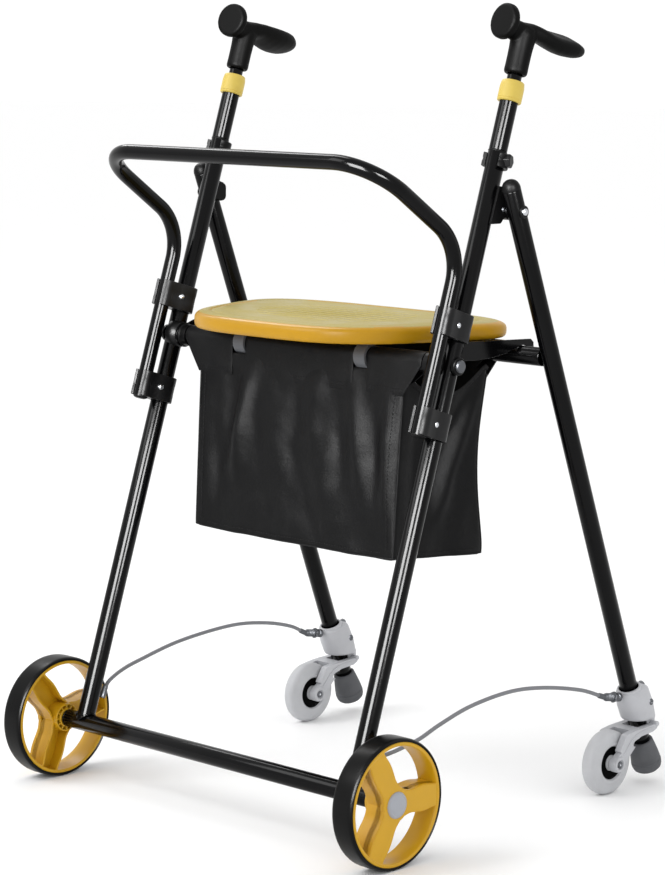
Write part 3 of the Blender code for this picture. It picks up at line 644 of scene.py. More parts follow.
# ------------------------------------------------------------------ front frame
for side, tag in PAIRS:
    m = frame_at(on_leg(side, 0), U)
    bm = pipe(LEG_R, 10.0, 0.0, LEG_TOP, 56)
    for v in bm.verts:
        if v.co.z < 1.0:
            v.co.z = math.sqrt(max(0.0, 11.3 ** 2 - v.co.y ** 2)) + (0.2 if v.co.z > 0.2 else 0.0)
    make("front_leg_tube_" + tag, bm, PAINT, "front_frame", ["front_leg_" + tag], m)
    bead = []
    for k in range(64):
        a = 2 * math.pi * k / 64
        x, y = 11.4 * math.cos(a), 11.4 * math.sin(a)
        bead.append(m @ Vector((x, y, math.sqrt(max(0.0, 11.6 ** 2 - y * y)) + 0.3)))
    rad = [1.5 + 0.18 * math.sin(k * 2 * math.pi * 19 / 64) for k in range(64)]
    make("leg_weld_" + tag, sweep(bead, rad, 10, True), PAINT)

along_x = frame_at((0, 0, WHEEL_R), (1, 0, 0), U)
make("axle_tube", pipe(11.0, 9.4, -257.5, 257.5, 56), PAINT, "front_frame", ["front_axle_tube"], along_x)
make("axle_rod", lathe([(0, -290.5), (4.2, -290.5), (5, -289.6), (5, 289.6), (4.2, 290.5), (0, 290.5)], 24), STEEL,
     "front_frame", ["front_axle_rod"], along_x)
for side, tag in PAIRS:
    make("axle_plug_" + tag, lathe([(5.3, 251.0), (9.2, 251.0), (9.2, 257.8), (10.9, 257.8), (10.9, 259.6), (8.4, 260.8),
                                     (5.3, 260.8)], 40, True), MATTE, "front_frame", (),
         frame_at((0, 0, WHEEL_R), (side, 0, 0), U), bevel=0.3)

cross = frame_at((0, PIVOT_Y, CROSS_Z), (1, 0, 0))
make("cross_tube_front", pipe(11.0, 9.4, -218.0, 218.0, 56), PAINT, "front_frame", ["front_cross_tube"], cross)
make("pivot_rod", lathe([(0, -248.8), (4.4, -248.6), (6.6, -247.8), (7.4, -246.6), (7.4, -245.2), (4.0, -245.2),
                         (4.0, 245.2), (7.4, 245.2), (7.4, 246.6), (6.6, 247.8), (4.4, 248.6), (0, 248.8)], 32),
     DARKSTEEL, "front_frame", ["seat_pivot_rod"], cross)
for side, tag in PAIRS:
    t = frame_at((0, PIVOT_Y, CROSS_Z), (side, 0, 0))
    bm = lathe([(11.2, 214.2), (12.6, 214.2), (14.2, 216.0), (16.4, 219.4), (17.6, 223.0), (17.6, 229.0), (11.2, 229.0)],
               48, True)
    bm = moved(bm, t)
    bm = carve(bm, moved(rod(11.2, -60, 60, 48), frame_at(on_leg(side, (CROSS_Z - WHEEL_R) / math.cos(LEG_TILT)), U)))
    make("tube_saddle_" + tag, bm, CLIP, bevel=0.5)
    make("pivot_washer_" + tag, lathe([(4.2, 240.4), (10.4, 240.4), (10.4, 244.2), (9.2, 245.1), (4.2, 245.1)], 36, True),
         MATTE, "front_frame", (), t, bevel=0.3)
    make("cross_bush_" + tag, lathe([(11.15, 199.0), (13.4, 199.0), (13.4, 207.4), (14.6, 208.4), (14.6, 209.8),
                                     (11.15, 209.8)], 44, True), MATTE, "front_frame", (), t, bevel=0.3)

# back-rest bar
low_r, knee_r = on_leg(1, 409.0, BACK_AHEAD, BACK_X), on_leg(1, 629.0, BACK_AHEAD, BACK_X)
top_r = Vector((226.5, 20.3, 779.4))
mirror = lambda v: Vector((-v.x, v.y, v.z))
path = bent([low_r, knee_r, top_r, mirror(top_r), mirror(knee_r), mirror(low_r)], [58.0, 62.0, 62.0, 58.0], 18)
make("back_bar", sweep(path, BACK_R, 48), PAINT, "front_frame", ["backrest_tube"])
for side, tag in PAIRS:
    make("back_bar_plug_" + tag, lathe([(0, -2.6), (5.4, -2.2), (8.0, -1.2), (9.0, 0.2), (9.0, 1.2), (0, 1.2)], 36), MATTE,
         "front_frame", (), frame_at(on_leg(side, 407.9, BACK_AHEAD, BACK_X), U))


def clip_outline():
    dx = BACK_X - LEG_X
    pts = []
    for k in range(25):
        a = math.radians(-8 - 164 * k / 24)
        pts.append((15.2 * math.cos(a), 15.2 * math.sin(a)))
    pts += [(-14.2, 6.0), (-12.9, 12.0), (-12.0, 15.5)]
    for k in range(10):
        a = math.radians(196 - 71 * k / 9)
        pts.append((dx + 12.6 * math.cos(a), BACK_AHEAD + 12.6 * math.sin(a)))
    for k in range(25):
        a = math.radians(125 + 290 * k / 24)
        pts.append((dx + 9.25 * math.cos(a), BACK_AHEAD + 9.25 * math.sin(a)))
    for k in range(10):
        a = math.radians(55 - 71 * k / 9)
        pts.append((dx + 12.6 * math.cos(a), BACK_AHEAD + 12.6 * math.sin(a)))
    pts += [(13.8, 15.5), (14.0, 12.0), (14.6, 6.0)]
    return pts


for side, tag in PAIRS:
    for where, s, height in (("upper", 541.0, 32.0), ("lower", 425.0, 32.0)):
        m = frame_at(on_leg(side, s), U, (1, 0, 0))
        loops = [[(side * x, -y, h) for x, y in clip_outline()] for h in (-height / 2, -6.2, -5.2, 5.2, 6.2, height / 2)]
        for i in (2, 3):                       # a shallow belt round the middle
            loops[i] = [(x * 0.985, y * 0.985 if y > -18 else y, h) for x, y, h in loops[i]]
        bm = moved(skin(loops), m)
        bm = carve(bm, moved(rod(LEG_R + 0.15, -40, 40, 56), m))
        make("clip_%s_%s" % (where, tag), bm, CLIP, "front_frame", ["backrest_clip_%s_%s" % (where, tag)], bevel=0.7)
        for k, sx in ((0, -1), (1, 1)):        # rivets through the block between leg and bar
            at = on_leg(side, s, 14.5) + Vector((sx * 13.2, 0, 0))
            make("clip_rivet_%s_%s_%d" % (where, tag, k),
                 lathe([(0, 1.9), (1.9, 1.6), (3.0, 0.9), (3.5, 0.0), (3.5, -2.0), (0, -2.0)], 24), STEEL,
                 "front_frame", (), frame_at(at, (sx, 0, 0)))

# ------------------------------------------------------------ hinge brackets, clamps
for side, tag in PAIRS:
    leg_y = (HINGE_Z - WHEEL_R) * math.tan(LEG_TILT)
    outline = rounded([(leg_y + a, HINGE_Z + b, r) for a, b, r in (
        (-4.5, -14, 1.5), (13, -14, 4), (19.5, -6.5, 4), (27, -10.5, 2.5), (35.8, -9, 6), (35.8, 9, 6), (30, 13, 3),
        (24.5, 14.5, 4), (20.5, 27.5, 2.5), (9.8, 29, 1.5))], 6)
    x0, x1 = sorted((side * (LEG_X + 4.0), side * 243.6))
    bm = slab(outline, x0, x1)
    bm = carve(bm, moved(rod(LEG_R + 0.15, -80, 80, 56),
                         frame_at(on_leg(side, (HINGE_Z - WHEEL_R) / math.cos(LEG_TILT)), U)))
    make("hinge_plate_" + tag, bm, MATTE, "front_frame", ["hinge_bracket_" + tag], bevel=1.1, steps=3)
    # a rivet on the outboard face
    for k, (y, z) in enumerate(((leg_y + 17.0, HINGE_Z + 2.0),)):
        make("hinge_rivet_%s_%d" % (tag, k), lathe([(0, 1.6), (1.4, 1.4), (2.2, 0.8), (2.6, 0.0), (2.6, -1.5), (0, -1.5)], 28),
             DARKSTEEL, "front_frame", (), frame_at((side * 243.6, y, z), (side, 0, 0)))
    make("hinge_pin_" + tag, lathe([(0, -21.0), (6.5, -21.0), (6.5, -16.6), (3.6, -16.6), (3.6, 11.4), (4.4, 11.4),
                                    (4.4, 12.6), (4.0, 13.8), (3.0, 14.8), (1.6, 15.3), (0, 15.4)], 48),
         STEEL, "front_frame", ["hinge_bolt_" + tag], frame_at((side * REAR_X, HINGE_Y, HINGE_Z), (side, 0, 0)))

    make("hinge_washer_" + tag, lathe([(4.5, 10.6), (7.4, 10.6), (7.4, 11.8), (6.6, 12.6), (5.4, 12.4), (4.5, 11.9)], 40, True),
         MATTE, "front_frame", (), frame_at((side * REAR_X, HINGE_Y, HINGE_Z), (side, 0, 0)))

    # height clamp: open collar and a hexagonal knob
    pts = []
    for k in range(49):
        a = math.radians(-38 + 256 * k / 48)
        pts.append((side * 15.6 * math.cos(a), 15.6 * math.sin(a)))
    for k in range(49):
        a = math.radians(218 - 256 * k / 48)
        pts.append((side * 11.15 * math.cos(a), 11.15 * math.sin(a)))
    m = frame_at(on_leg(side, LEG_TOP - 11), U, (1, 0, 0))
    loops = [[(x, y, h) for x, y in pts] for h in (-8.0, -2.2, -1.4, 1.4, 2.2, 8.0)]
    for i in (2, 3):
        loops[i] = [(x * (0.97 if math.hypot(x, y) > 13 else 1), y * (0.97 if math.hypot(x, y) > 13 else 1), h)
                    for x, y, h in loops[i]]
    make("clamp_collar_" + tag, skin(loops), MATTE, "front_frame", ["height_clamp_" + tag], m, bevel=0.6)
    make("clamp_knob_" + tag, lathe([(0, 12.0), (8.6, 12.0), (8.6, 18.4), (7.0, 19.8), (0, 19.8)], 6), CLIP,
         "front_frame", (), frame_at(on_leg(side, LEG_TOP - 11), (side, 0.35, 0), U), bevel=0.7)
    make("leg_mouth_ring_" + tag, lathe([(9.85, LEG_TOP - 4.0), (11.0, LEG_TOP - 1.0), (11.35, LEG_TOP), (11.2, LEG_TOP + 0.2),
                                         (9.85, LEG_TOP + 0.2)], 48, True), MATTE, "front_frame", (),
         frame_at(on_leg(side, 0), U))

# -------------------------------------------------- handle tubes and handles
for side, tag in PAIRS:
    upm = frame_at(on_leg(side, 0), U)
    profile = [(9.65, 560.0), (9.65, LEG_TOP + 0.4), (10.5, LEG_TOP + 0.6), (10.8, LEG_TOP + 1.0), (10.8, 821.6),
               (10.5, 822.0), (9.0, 822.0), (9.0, 640.0), (0, 640.0), (0, 632.0), (8.4, 632.0), (8.4, 560.0)]
    bm = lathe(profile, 56, True)
    make("slide_tube_" + tag, bm, PAINT, "handle_" + tag, ["handle_tube_" + tag], upm)
    make("pale_collar_" + tag,
         lathe([(11.05, 808.2), (13.2, 808.2), (13.9, 808.7), (14.3, 809.6), (14.3, 810.6), (13.95, 810.9), (13.95, 811.6),
                (14.3, 811.9), (14.3, 825.6), (13.8, 829.0), (13.2, 832.0), (12.4, 832.8), (8.9, 832.8), (8.9, 822.4),
                (11.05, 822.4)], 56, True), YELLOW, "handle_" + tag, ["tube_collar_" + tag], upm)
    make("inner_post_" + tag, pipe(8.5, 7.0, 700.0, 868.0, 40), PAINT, "brake_handle_" + tag, ["post_" + tag], upm)
    coil = [(6.6 * math.cos(2 * math.pi * i / 20), 6.6 * math.sin(2 * math.pi * i / 20), 641.8 + 56.4 * i / 120)
            for i in range(121)]
    spring = make("return_spring_" + tag, sweep(coil, 1.0, 8), STEEL, "handle_" + tag, ["press_spring_" + tag], upm)
    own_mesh(spring)

    # hand rest: neck, front disc, arched blade
    neck = [(8.9, 841.2), (12.0, 841.2), (13.2, 842.2), (13.9, 844.6), (13.7, 852.0), (13.7, 862.0), (13.9, 872.0),
            (14.6, 881.0), (15.2, 888.0), (13.6, 895.0), (8.0, 899.0), (0, 900.0)]
    body = moved(lathe([(0, 869.0), (8.9, 869.0)] + neck, 48), upm)
    g0 = Vector((side * 223.6, 237.5, 938.6))
    g1 = Vector((side * 240.0, 363.0, 903.5))
    ax = (g1 - g0).normalized()
    gx = Vector((1, 0, 0))
    gx = (gx - ax * gx.dot(ax)).normalized()
    gz = gx.cross(ax)
    length = (g1 - g0).length
    #            along half-w half-up half-down roll
    stations = [(0.0, 18.0, 18.4, 18.4, 0), (0.7, 19.8, 20.2, 20.2, 0), (2.2, 20.6, 21.0, 21.0, 0), (8.4, 20.8, 21.2, 21.2, 0),
                (10.2, 19.6, 20.0, 20.0, 0), (11.8, 16.6, 13.4, 18.0, 0), (15.0, 13.0, 7.2, 17.4, 0),
                (22.0, 12.6, 6.0, 18.2, 0), (30.0, 12.8, 6.2, 17.6, 2), (37.0, 13.6, 7.4, 15.0, 4),
                (44.0, 15.0, 8.6, 12.8, 7), (51.0, 16.8, 9.0, 11.2, 10), (58.0, 18.4, 9.2, 10.6, 14),
                (66.0, 19.8, 8.6, 11.6, 17), (74.0, 20.8, 8.2, 13.0, 20), (85.0, 21.5, 8.4, 14.2, 22),
                (96.0, 21.6, 9.4, 14.0, 22), (104.0, 21.0, 10.2, 13.0, 22), (112.0, 19.6, 10.4, 11.8, 22),
                (119.0, 16.8, 8.8, 9.8, 22), (124.5, 13.4, 7.2, 7.8, 22), (128.0, 9.8, 4.8, 5.2, 22), (length, 4.0, 2.2, 2.4, 22)]
    loops = []
    for t, hw, hu, hd, roll in stations:
        turn = -side * math.radians(roll)
        c = g0 + ax * t
        loop = []
        for k in range(48):
            a = 2 * math.pi * (k + 0.5) / 48
            ca, sa = math.cos(a), math.sin(a)
            n = 2.0 if t < 40 else 2.35
            rx = hw * math.copysign(abs(ca) ** (2 / n), ca)
            rz = (hu if sa > 0 else hd) * math.copysign(abs(sa) ** (2 / n), sa)
            if sa > 0 and t > 40:              # a hollow along the palm
                rz -= 1.6 * min(1.0, (t - 40) / 25) * max(0.0, 1 - (ca / 0.62) ** 2)
            loop.append(c + gx * (rx * math.cos(turn) - rz * math.sin(turn))
                        + gz * (rx * math.sin(turn) + rz * math.cos(turn)))
        loops.append(loop)
    merged(body, skin(loops))
    bm = remeshed(body, 1.35, 5)
    make("hand_rest_" + tag, bm, GRIP, "brake_handle_" + tag, ["grip_" + tag], angle=180)

# ------------------------------------------------------------------ rear frame
for side, tag in PAIRS:
    down = frame_at(on_rear(side, HINGE_Z), D)
    end = (HINGE_Z - 32.0) / math.cos(REAR_TILT)
    make("rear_leg_tube_" + tag, pipe(11.0, 9.4, -27.0, end, 56), PAINT, "rear_frame", ["rear_leg_" + tag], down)
    make("rear_leg_dome_" + tag,
         lathe([(0, -39.4), (2.6, -39.1), (5.2, -38.2), (7.6, -36.6), (9.4, -34.2), (10.6, -31.2), (11.1, -28.4),
                (11.1, -27.3), (9.0, -27.3), (9.0, -18.0), (0, -18.0)], 48), MATTE, "rear_frame", ["rear_leg_cap_" + tag], down)
    foot_s = (HINGE_Z - 15.6) / math.cos(REAR_TILT)
    prof = [(0, foot_s), (9.0, foot_s - 0.2), (14.6, foot_s - 1.8), (17.2, foot_s - 4.2), (18.4, foot_s - 7.4),
            (18.9, foot_s - 11.0), (18.9, foot_s - 13.6), (18.1, foot_s - 14.4), (18.1, foot_s - 16.2), (18.5, foot_s - 17.0),
            (17.6, foot_s - 24.0), (16.2, foot_s - 32.0), (14.8, foot_s - 39.0), (14.2, foot_s - 42.2), (13.4, foot_s - 43.0),
            (11.2, foot_s - 43.0), (11.2, end + 0.4), (0, end + 0.4)]
    make("foot_" + tag, lathe(prof, 56), FOOT, "rear_frame", ["rubber_foot_" + tag], down)
    for k in range(3):                         # ground rings under the foot
        r = 4.0 + 4.2 * k
        ring = [down @ Vector((r * math.cos(a * math.pi / 16), r * math.sin(a * math.pi / 16),
                               foot_s - (0.3 if r < 10 else 1.3))) for a in range(32)]
        make("foot_ring_%s_%d" % (tag, k), sweep(ring, 0.55, 8, True), FOOT, "rear_frame")
    # caster housing, round in front and square and ribbed behind
    cx = side * REAR_X
    loops = []
    for f, cut in ((0.0, 2.6), (0.02, 1.2), (0.05, 0.4), (0.09, 0.0), (0.5, -0.9), (0.9, 0.0), (0.95, 0.5), (0.985, 1.4), (1.0, 2.8)):
        ring = []
        for k in range(25):
            a = math.radians(-90 + 180 * k / 24)
            ring.append(((18.6 - cut) * math.sin(a), (18.0 - cut) * math.cos(a)))
        for px, py in ((18.6, -4.0), (18.2, -14.0), (16.6, -17.6), (13.0, -19.4), (0.0, -19.8), (-13.0, -19.4), (-16.6, -17.6),
                       (-18.2, -14.0), (-18.6, -4.0)):
            q = 1 - cut / 18.6
            ring.append((px * q, py * q))
        loop = []
        for lx, ly in ring:
            low = (HINGE_Z - 84.5 - 0.365 * ly) / 0.931
            high = 640.0 + 0.06 * (18 - ly)
            loop.append(down @ Vector((lx * (0.93 + 0.07 * min(1, f * 2)), ly, high + (low - high) * f)))
        loops.append(loop)
    bm = skin(loops)
    bm = carve(bm, moved(rod(11.3, 400, 760, 56), down))
    for h in (-12.6, -4.2, 4.2, 12.6):         # slots that leave ribs on the back
        tool = skin([[Vector((h - 2.6, -14.5, z)), Vector((h + 2.6, -14.5, z)), Vector((h + 2.6, -26.0, z)),
                      Vector((h - 2.6, -26.0, z))] for z in (648.0, 678.0)])
        bm = carve(bm, moved(tool, down))
    make("caster_body_" + tag, bm, GREY, "rear_frame", ["caster_housing_" + tag], bevel=0.45)
    # lug under the housing that the arm turns on
    lug = slab(rounded([(487.0, 88.0, 1), (505.0, 90.0, 3), (504.0, 73.0, 6), (492.0, 72.0, 6), (489.0, 80.0, 2)], 6), cx - 11.4, cx + 11.4)
    lug = carve(lug, moved(rod(11.6, 400, 760, 56), down))
    make("arm_lug_" + tag, lug, GREY, "rear_frame", (), bevel=0.6)
    make("arm_pin_" + tag, lathe([(0, -22.2), (2.6, -22.2), (3.2, -21.6), (3.2, 21.6), (2.6, 22.2), (0, 22.2)], 28), GREY,
         "rear_frame", (), frame_at((cx, 497.0, 79.0), (1, 0, 0)))
    top = on_rear(side, 127.6)
    top = down @ Vector((0, 0, 640.4))
    make("housing_lip_" + tag, lathe([(12.6, -2.6), (14.8, -2.4), (15.6, -1.2), (15.6, 2.4), (14.0, 3.4), (12.6, 3.4)], 48, True),
         GREY, "rear_frame", (), frame_at(top, D), bevel=0.4)
    make("housing_seal_" + tag, lathe([(11.1, -1.4), (12.5, -1.4), (12.5, 2.2), (11.1, 2.2)], 44, True),
         SEAL_AND_SHADE_BLACK, "rear_frame", (), frame_at(top, D))
    for k, sx in enumerate((-1, 1)):            # clamp screws on the two sides of the housing
        make("housing_screw_%s_%d" % (tag, k),
             lathe([(0, 0.9), (1.4, 0.9), (1.6, 1.5), (3.6, 1.4), (4.2, 0.6), (4.2, -2.0), (0, -2.0)], 28), DARKSTEEL,
             "rear_frame", (), frame_at((cx + sx * 18.2, 486.5, 108.0), (sx, 0, 0)))
    make("housing_knob_" + tag, lathe([(0, 7.4), (3.4, 7.2), (4.6, 6.0), (4.8, 0.0), (4.8, -4.0), (0, -4.0)], 28), MIDGREY,
         "rear_frame", (), frame_at(down @ Vector((0, -18.6, 648.0)), (0, 0.93, 0.36)), bevel=0.3)
    a0 = Vector((cx, 446.2, 117.5))
    adir = Vector((0, -1, 0.16)).normalized()
    prof = [(2.6, 0.6), (5.6, 0.6), (5.6, 5.0), (5.0, 5.4), (5.0, 6.0), (5.6, 6.4), (5.6, 9.0), (4.4, 9.6), (4.4, 15.4)]
    for k in range(5):
        prof += [(5.1, 15.9 + 2.1 * k), (5.1, 17.1 + 2.1 * k), (4.7, 17.4 + 2.1 * k), (4.7, 17.7 + 2.1 * k)]
    prof += [(5.0, 26.6), (4.6, 28.0), (3.4, 30.0), (2.6, 30.0)]
    make("adjuster_" + tag, lathe(prof, 32, True), [DARKSTEEL], "rear_frame", ["cable_adjuster_" + tag], frame_at(a0, adir))
    make("adjuster_nut_" + tag, lathe([(4.5, 9.8), (7.0, 9.8), (7.0, 13.6), (4.5, 13.6)], 6, True), DARKSTEEL,
         "rear_frame", (), frame_at(a0, adir), bevel=0.4)
make("cross_tube_rear", pipe(11.0, 9.4, -244.6, 244.6, 56), PAINT, "rear_frame", ["rear_cross_tube"],
     frame_at((0, CROSS_Y, CROSS_Z), (1, 0, 0)))

# ------------------------------------------------------------- caster arms and wheels
for side, tag in PAIRS:
    cx = side * REAR_X
    body = "wheel_arm_" + tag
    bm = slab([(465.6, 78.8), (464.4, 65.0), (455.4, 66.8), (452.6, 76.8)], cx - 19.0, cx + 19.0)
    blade = rounded([(501.0, 81.4, 1.5), (497.0, 73.4, 3), (490.0, 70.4, 4), (466.0, 68.0, 6), (453.0, 64.0, 5),
                     (441.0, 50.0, 3)], 5)
    blade += [(CASTER_Y + 10 * math.cos(math.radians(q)), CASTER_Z + 10 * math.sin(math.radians(q)))
              for q in range(-10, -215, -10)]
    blade += rounded([(421.0, 51.0, 2), (437.0, 74.6, 5), (454.0, 76.9, 4), (478.0, 79.0, 0)], 5)[:-1]
    for xa, xb in ((-21.0, -12.2), (12.2, 21.0)):
        merged(bm, slab(blade, cx + xa, cx + xb))
        s = -1 if xa < 0 else 1
        merged(bm, lathe([(0, 11.7), (9.2, 11.7), (9.2, 22.4), (8.4, 23.2), (6.4, 23.2), (5.6, 21.6), (0, 21.6)], 40),
               frame_at((cx, CASTER_Y, CASTER_Z), (s, 0, 0)))
    make("caster_arm_" + tag, bm, GREY, body, ["caster_fork_" + tag], bevel=0.7)
    for s in (-1, 1):                            # pressed line down the outside of each blade
        line = curve_through([(cx + s * 21.0, 488.0, 76.2), (cx + s * 21.0, 462.0, 73.2), (cx + s * 21.0, 446.0, 66.0),
                              (cx + s * 21.0, 431.0, 50.5)], 3.0)
        make("arm_rib_%s_%d" % (tag, (s + 1) // 2), sweep(line, 1.0, 8, flat=0.7), GREY, body)
        make("axle_head_%s_%d" % (tag, (s + 1) // 2),
             lathe([(0, 22.6), (1.5, 22.6), (1.7, 23.4), (3.6, 23.3), (4.4, 22.8), (4.6, 21.4), (0, 21.4)], 28), DARKSTEEL,
             body, (), frame_at((cx, CASTER_Y, CASTER_Z), (s, 0, 0)))
    make("caster_pin_" + tag, rod(3.4, -23.0, 23.0, 28), STEEL, body, ["caster_axle_" + tag],
         frame_at((cx, CASTER_Y, CASTER_Z), (1, 0, 0)))
    half = [(3.9, 10.9), (8.0, 10.9), (9.2, 10.2), (10.0, 6.6), (12.0, 5.8), (18.6, 5.8), (20.0, 6.8),
            (20.8, 9.4), (22.2, 10.6), (24.6, 10.6), (26.0, 9.6), (33.0, 9.2), (36.4, 8.2), (38.6, 6.6), (39.7, 4.4),
            (CASTER_R, 2.0)]
    prof = half + [(r, -h) for r, h in half[::-1]]
    # a near-black ring laid in each face's recess round the hub: painted shadow of the recess
    for sx in (-1, 1):
        make("wheel_recess_%s_%d" % (tag, (sx + 1) // 2), lathe([(9.8, 5.2), (20.7, 5.2), (20.7, 8.8), (19.6, 6.5), (11.0, 6.4), (9.8, 7.4)],
                                                             56, True), SEAL_AND_SHADE_BLACK, "rear_wheel_" + tag, (),
             frame_at((cx, CASTER_Y, CASTER_Z), (sx, 0, 0)))
    make("caster_wheel_" + tag, lathe(prof, 72, True, 0.0), TREAD, "rear_wheel_" + tag, ["rear_wheel_" + tag],
         frame_at((cx, CASTER_Y, CASTER_Z), (1, 0, 0)))

# --------------------------------------------------------------- front wheels
for side, tag in PAIRS:
    m = frame_at((side * WMID, 0, WHEEL_R), (side, 0, 0), (0, 0, 1))
    half = [(71.0, 14.4), (71.8, 15.0), (73.2, 14.9), (74.3, 13.6), (74.8, 12.0), (75.0, 9.6), (75.0, 2.0)]
    make("tyre_" + tag, lathe(half + [(r, -h) for r, h in half[::-1]], 112, True, 0.0), TYRE, "front_wheel_" + tag,
         ["front_tyre_" + tag], m)
    bm = lathe([(66.6, 14.2), (67.6, 14.9), (70.0, 14.9), (70.8, 14.2), (70.9, 12.8), (70.9, -12.8), (70.8, -14.2),
                (70.0, -14.9), (67.8, -14.9), (67.0, -14.2), (65.6, -2.0), (65.4, 4.0), (65.8, 12.0)], 112, True, 0.0)
    lathe([(5.4, -19.4), (10.4, -19.4), (11.4, -18.6), (11.8, -16.0), (11.8, -4.0), (17.4, -2.0), (17.6, 10.0), (17.0, 12.2),
           (15.4, 12.6), (5.4, 12.6)], 64, True, 0.0, bm, None)
    lathe([(15.4, -18.4), (16.2, -19.2), (17.2, -18.6), (17.6, -16.0), (17.8, 0.0), (15.4, 0.0)], 64, True, 0.0, bm, None)
    lathe([(16.4, 8.0), (20.4, 8.0), (20.4, 13.2), (19.6, 13.9), (16.4, 13.9)], 64, True, 0.0, bm, None)
    for k in range(3):
        mid = math.radians(120 * k + (30 if side > 0 else 81))
        e, f = Vector((math.cos(mid), math.sin(mid), 0)), Vector((-math.sin(mid), math.cos(mid), 0))
        widths = [(8.0, 15.6), (14.0, 15.2), (18.0, 14.2), (22.0, 13.4), (27.0, 13.4), (33.0, 14.2), (40.0, 15.0), (46.0, 15.2),
                  (52.0, 14.7), (58.0, 13.7), (63.0, 13.2), (66.9, 13.9)]

        def plate(cut, low, high, sign=None, inner=None):
            """The spoke's outline, or one edge wall of it, between two heights."""
            if sign is None:
                pts = [e * r + f * (w - cut) for r, w in widths] + [e * r - f * (w - cut) for r, w in widths[::-1]]
            else:
                pts = [e * r + f * sign * (w - cut) for r, w in widths]
                pts += [e * r + f * sign * (w - inner) for r, w in widths[::-1]]
            made = skin([[Vector((p.x, p.y, low)) for p in pts], [Vector((p.x, p.y, high)) for p in pts]])
            return made

        merged(bm, plate(0.0, 1.5, 13.6))
        merged(bm, plate(1.0, 13.5, 14.1))
        for sign in (-1, 1):
            merged(bm, plate(0.0, -13.4, 9.8, sign, 2.4))
    for k in range(12):                          # ribs round the inboard end of the hub
        a = 2 * math.pi * k / 12
        e, f = Vector((math.cos(a), math.sin(a), 0)), Vector((-math.sin(a), math.cos(a), 0))
        made = skin([[e * 10.8 + f * 0.9, e * 16.4 + f * 0.9, e * 16.4 - f * 0.9, e * 10.8 - f * 0.9],
                     [e * 10.8 + f * 0.9 + Vector((0, 0, 16)), e * 16.4 + f * 0.9 + Vector((0, 0, 16)),
                      e * 16.4 - f * 0.9 + Vector((0, 0, 16)), e * 10.8 - f * 0.9 + Vector((0, 0, 16))]])
        bmesh.ops.translate(made, verts=made.verts, vec=(0, 0, -18.6))
        merged(bm, made)
    make("wheel_rim_" + tag, bm, WHEEL, "front_wheel_" + tag, ["front_rim_" + tag], m, bevel=0.5, normals=False)
    make("wheel_cap_" + tag, lathe([(0, 12.7), (14.4, 12.7), (15.2, 13.4), (15.2, 14.8), (14.6, 15.8), (12.6, 16.9),
                                    (11.8, 16.7), (11.2, 17.0), (8.0, 17.7), (4.0, 18.0), (0, 18.1)], 56), CAPGREY,
         "front_wheel_" + tag, ["hub_cap_" + tag], m)

# ----------------------------------------------------------------------- seat
SEAT_Y, SEAT_HALF_Y, SEAT_TAPER, SEAT_N = 193.0, 131.0, 0.24, 3.6
loops = []
for z, inset in ((0.6, 9.0), (0.0, 7.6), (0.3, 5.4), (1.0, 2.8), (2.4, 1.2), (4.6, 0.3), (7.4, 0.0), (12.0, 0.05),
                 (14.6, 0.6), (16.6, 1.9), (18.2, 4.0), (19.4, 6.8), (20.1, 10.0), (20.5, 14.0), (20.6, 18.0), (20.5, 20.0), (19.7, 21.4), (19.6, 23.2), (20.3, 24.8),
                 (20.5, 27.0), (20.4, 40.0), (20.2, 70.0), (19.8, 100.0), (19.6, 124.0)):
    loop = []
    for k in range(180):
        a = 2 * math.pi * k / 180
        c, s = math.cos(a), math.sin(a)
        x = max(1.0, SEAT_HALF - inset * (SEAT_HALF / SEAT_HALF_Y if inset > 30 else 1)) * math.copysign(abs(c) ** (2 / SEAT_N), c)
        y = max(1.0, SEAT_HALF_Y - inset) * math.copysign(abs(s) ** (2 / SEAT_N), s)
        loop.append((x * (1 + SEAT_TAPER * y / SEAT_HALF_Y), SEAT_Y + y, SEAT_LOW + z))
    loops.append(loop)
seat_bm = skin(loops)
for k in range(9):                             # low anti-slip ribs across the middle of the top
    y = SEAT_Y - 64 + 16 * k
    half = 118 - 0.012 * (y - SEAT_Y) ** 2 * 0.9 + 0.2 * (y - SEAT_Y)
    line = [(x, y + 5.0 * math.sin(math.pi * (x + half) / (2 * half)), SEAT_LOW + 19.75) for x in
            [-half + 2 * half * j / 24 for j in range(25)]]
    sweep(line, [0.6] + [2.6] * 23 + [0.6], 12, bm=seat_bm, flat=0.5)
UNDER_X, UNDER_Y = SEAT_HALF - 19.0, SEAT_HALF_Y - 19.0   # stiffening ribs on the underside


def under(x, y):
    return (x * (1 + SEAT_TAPER * y / SEAT_HALF_Y), SEAT_Y + y, SEAT_LOW + 0.5)


def reach(q):
    return max(0.0, 1 - abs(q) ** SEAT_N) ** (1 / SEAT_N)


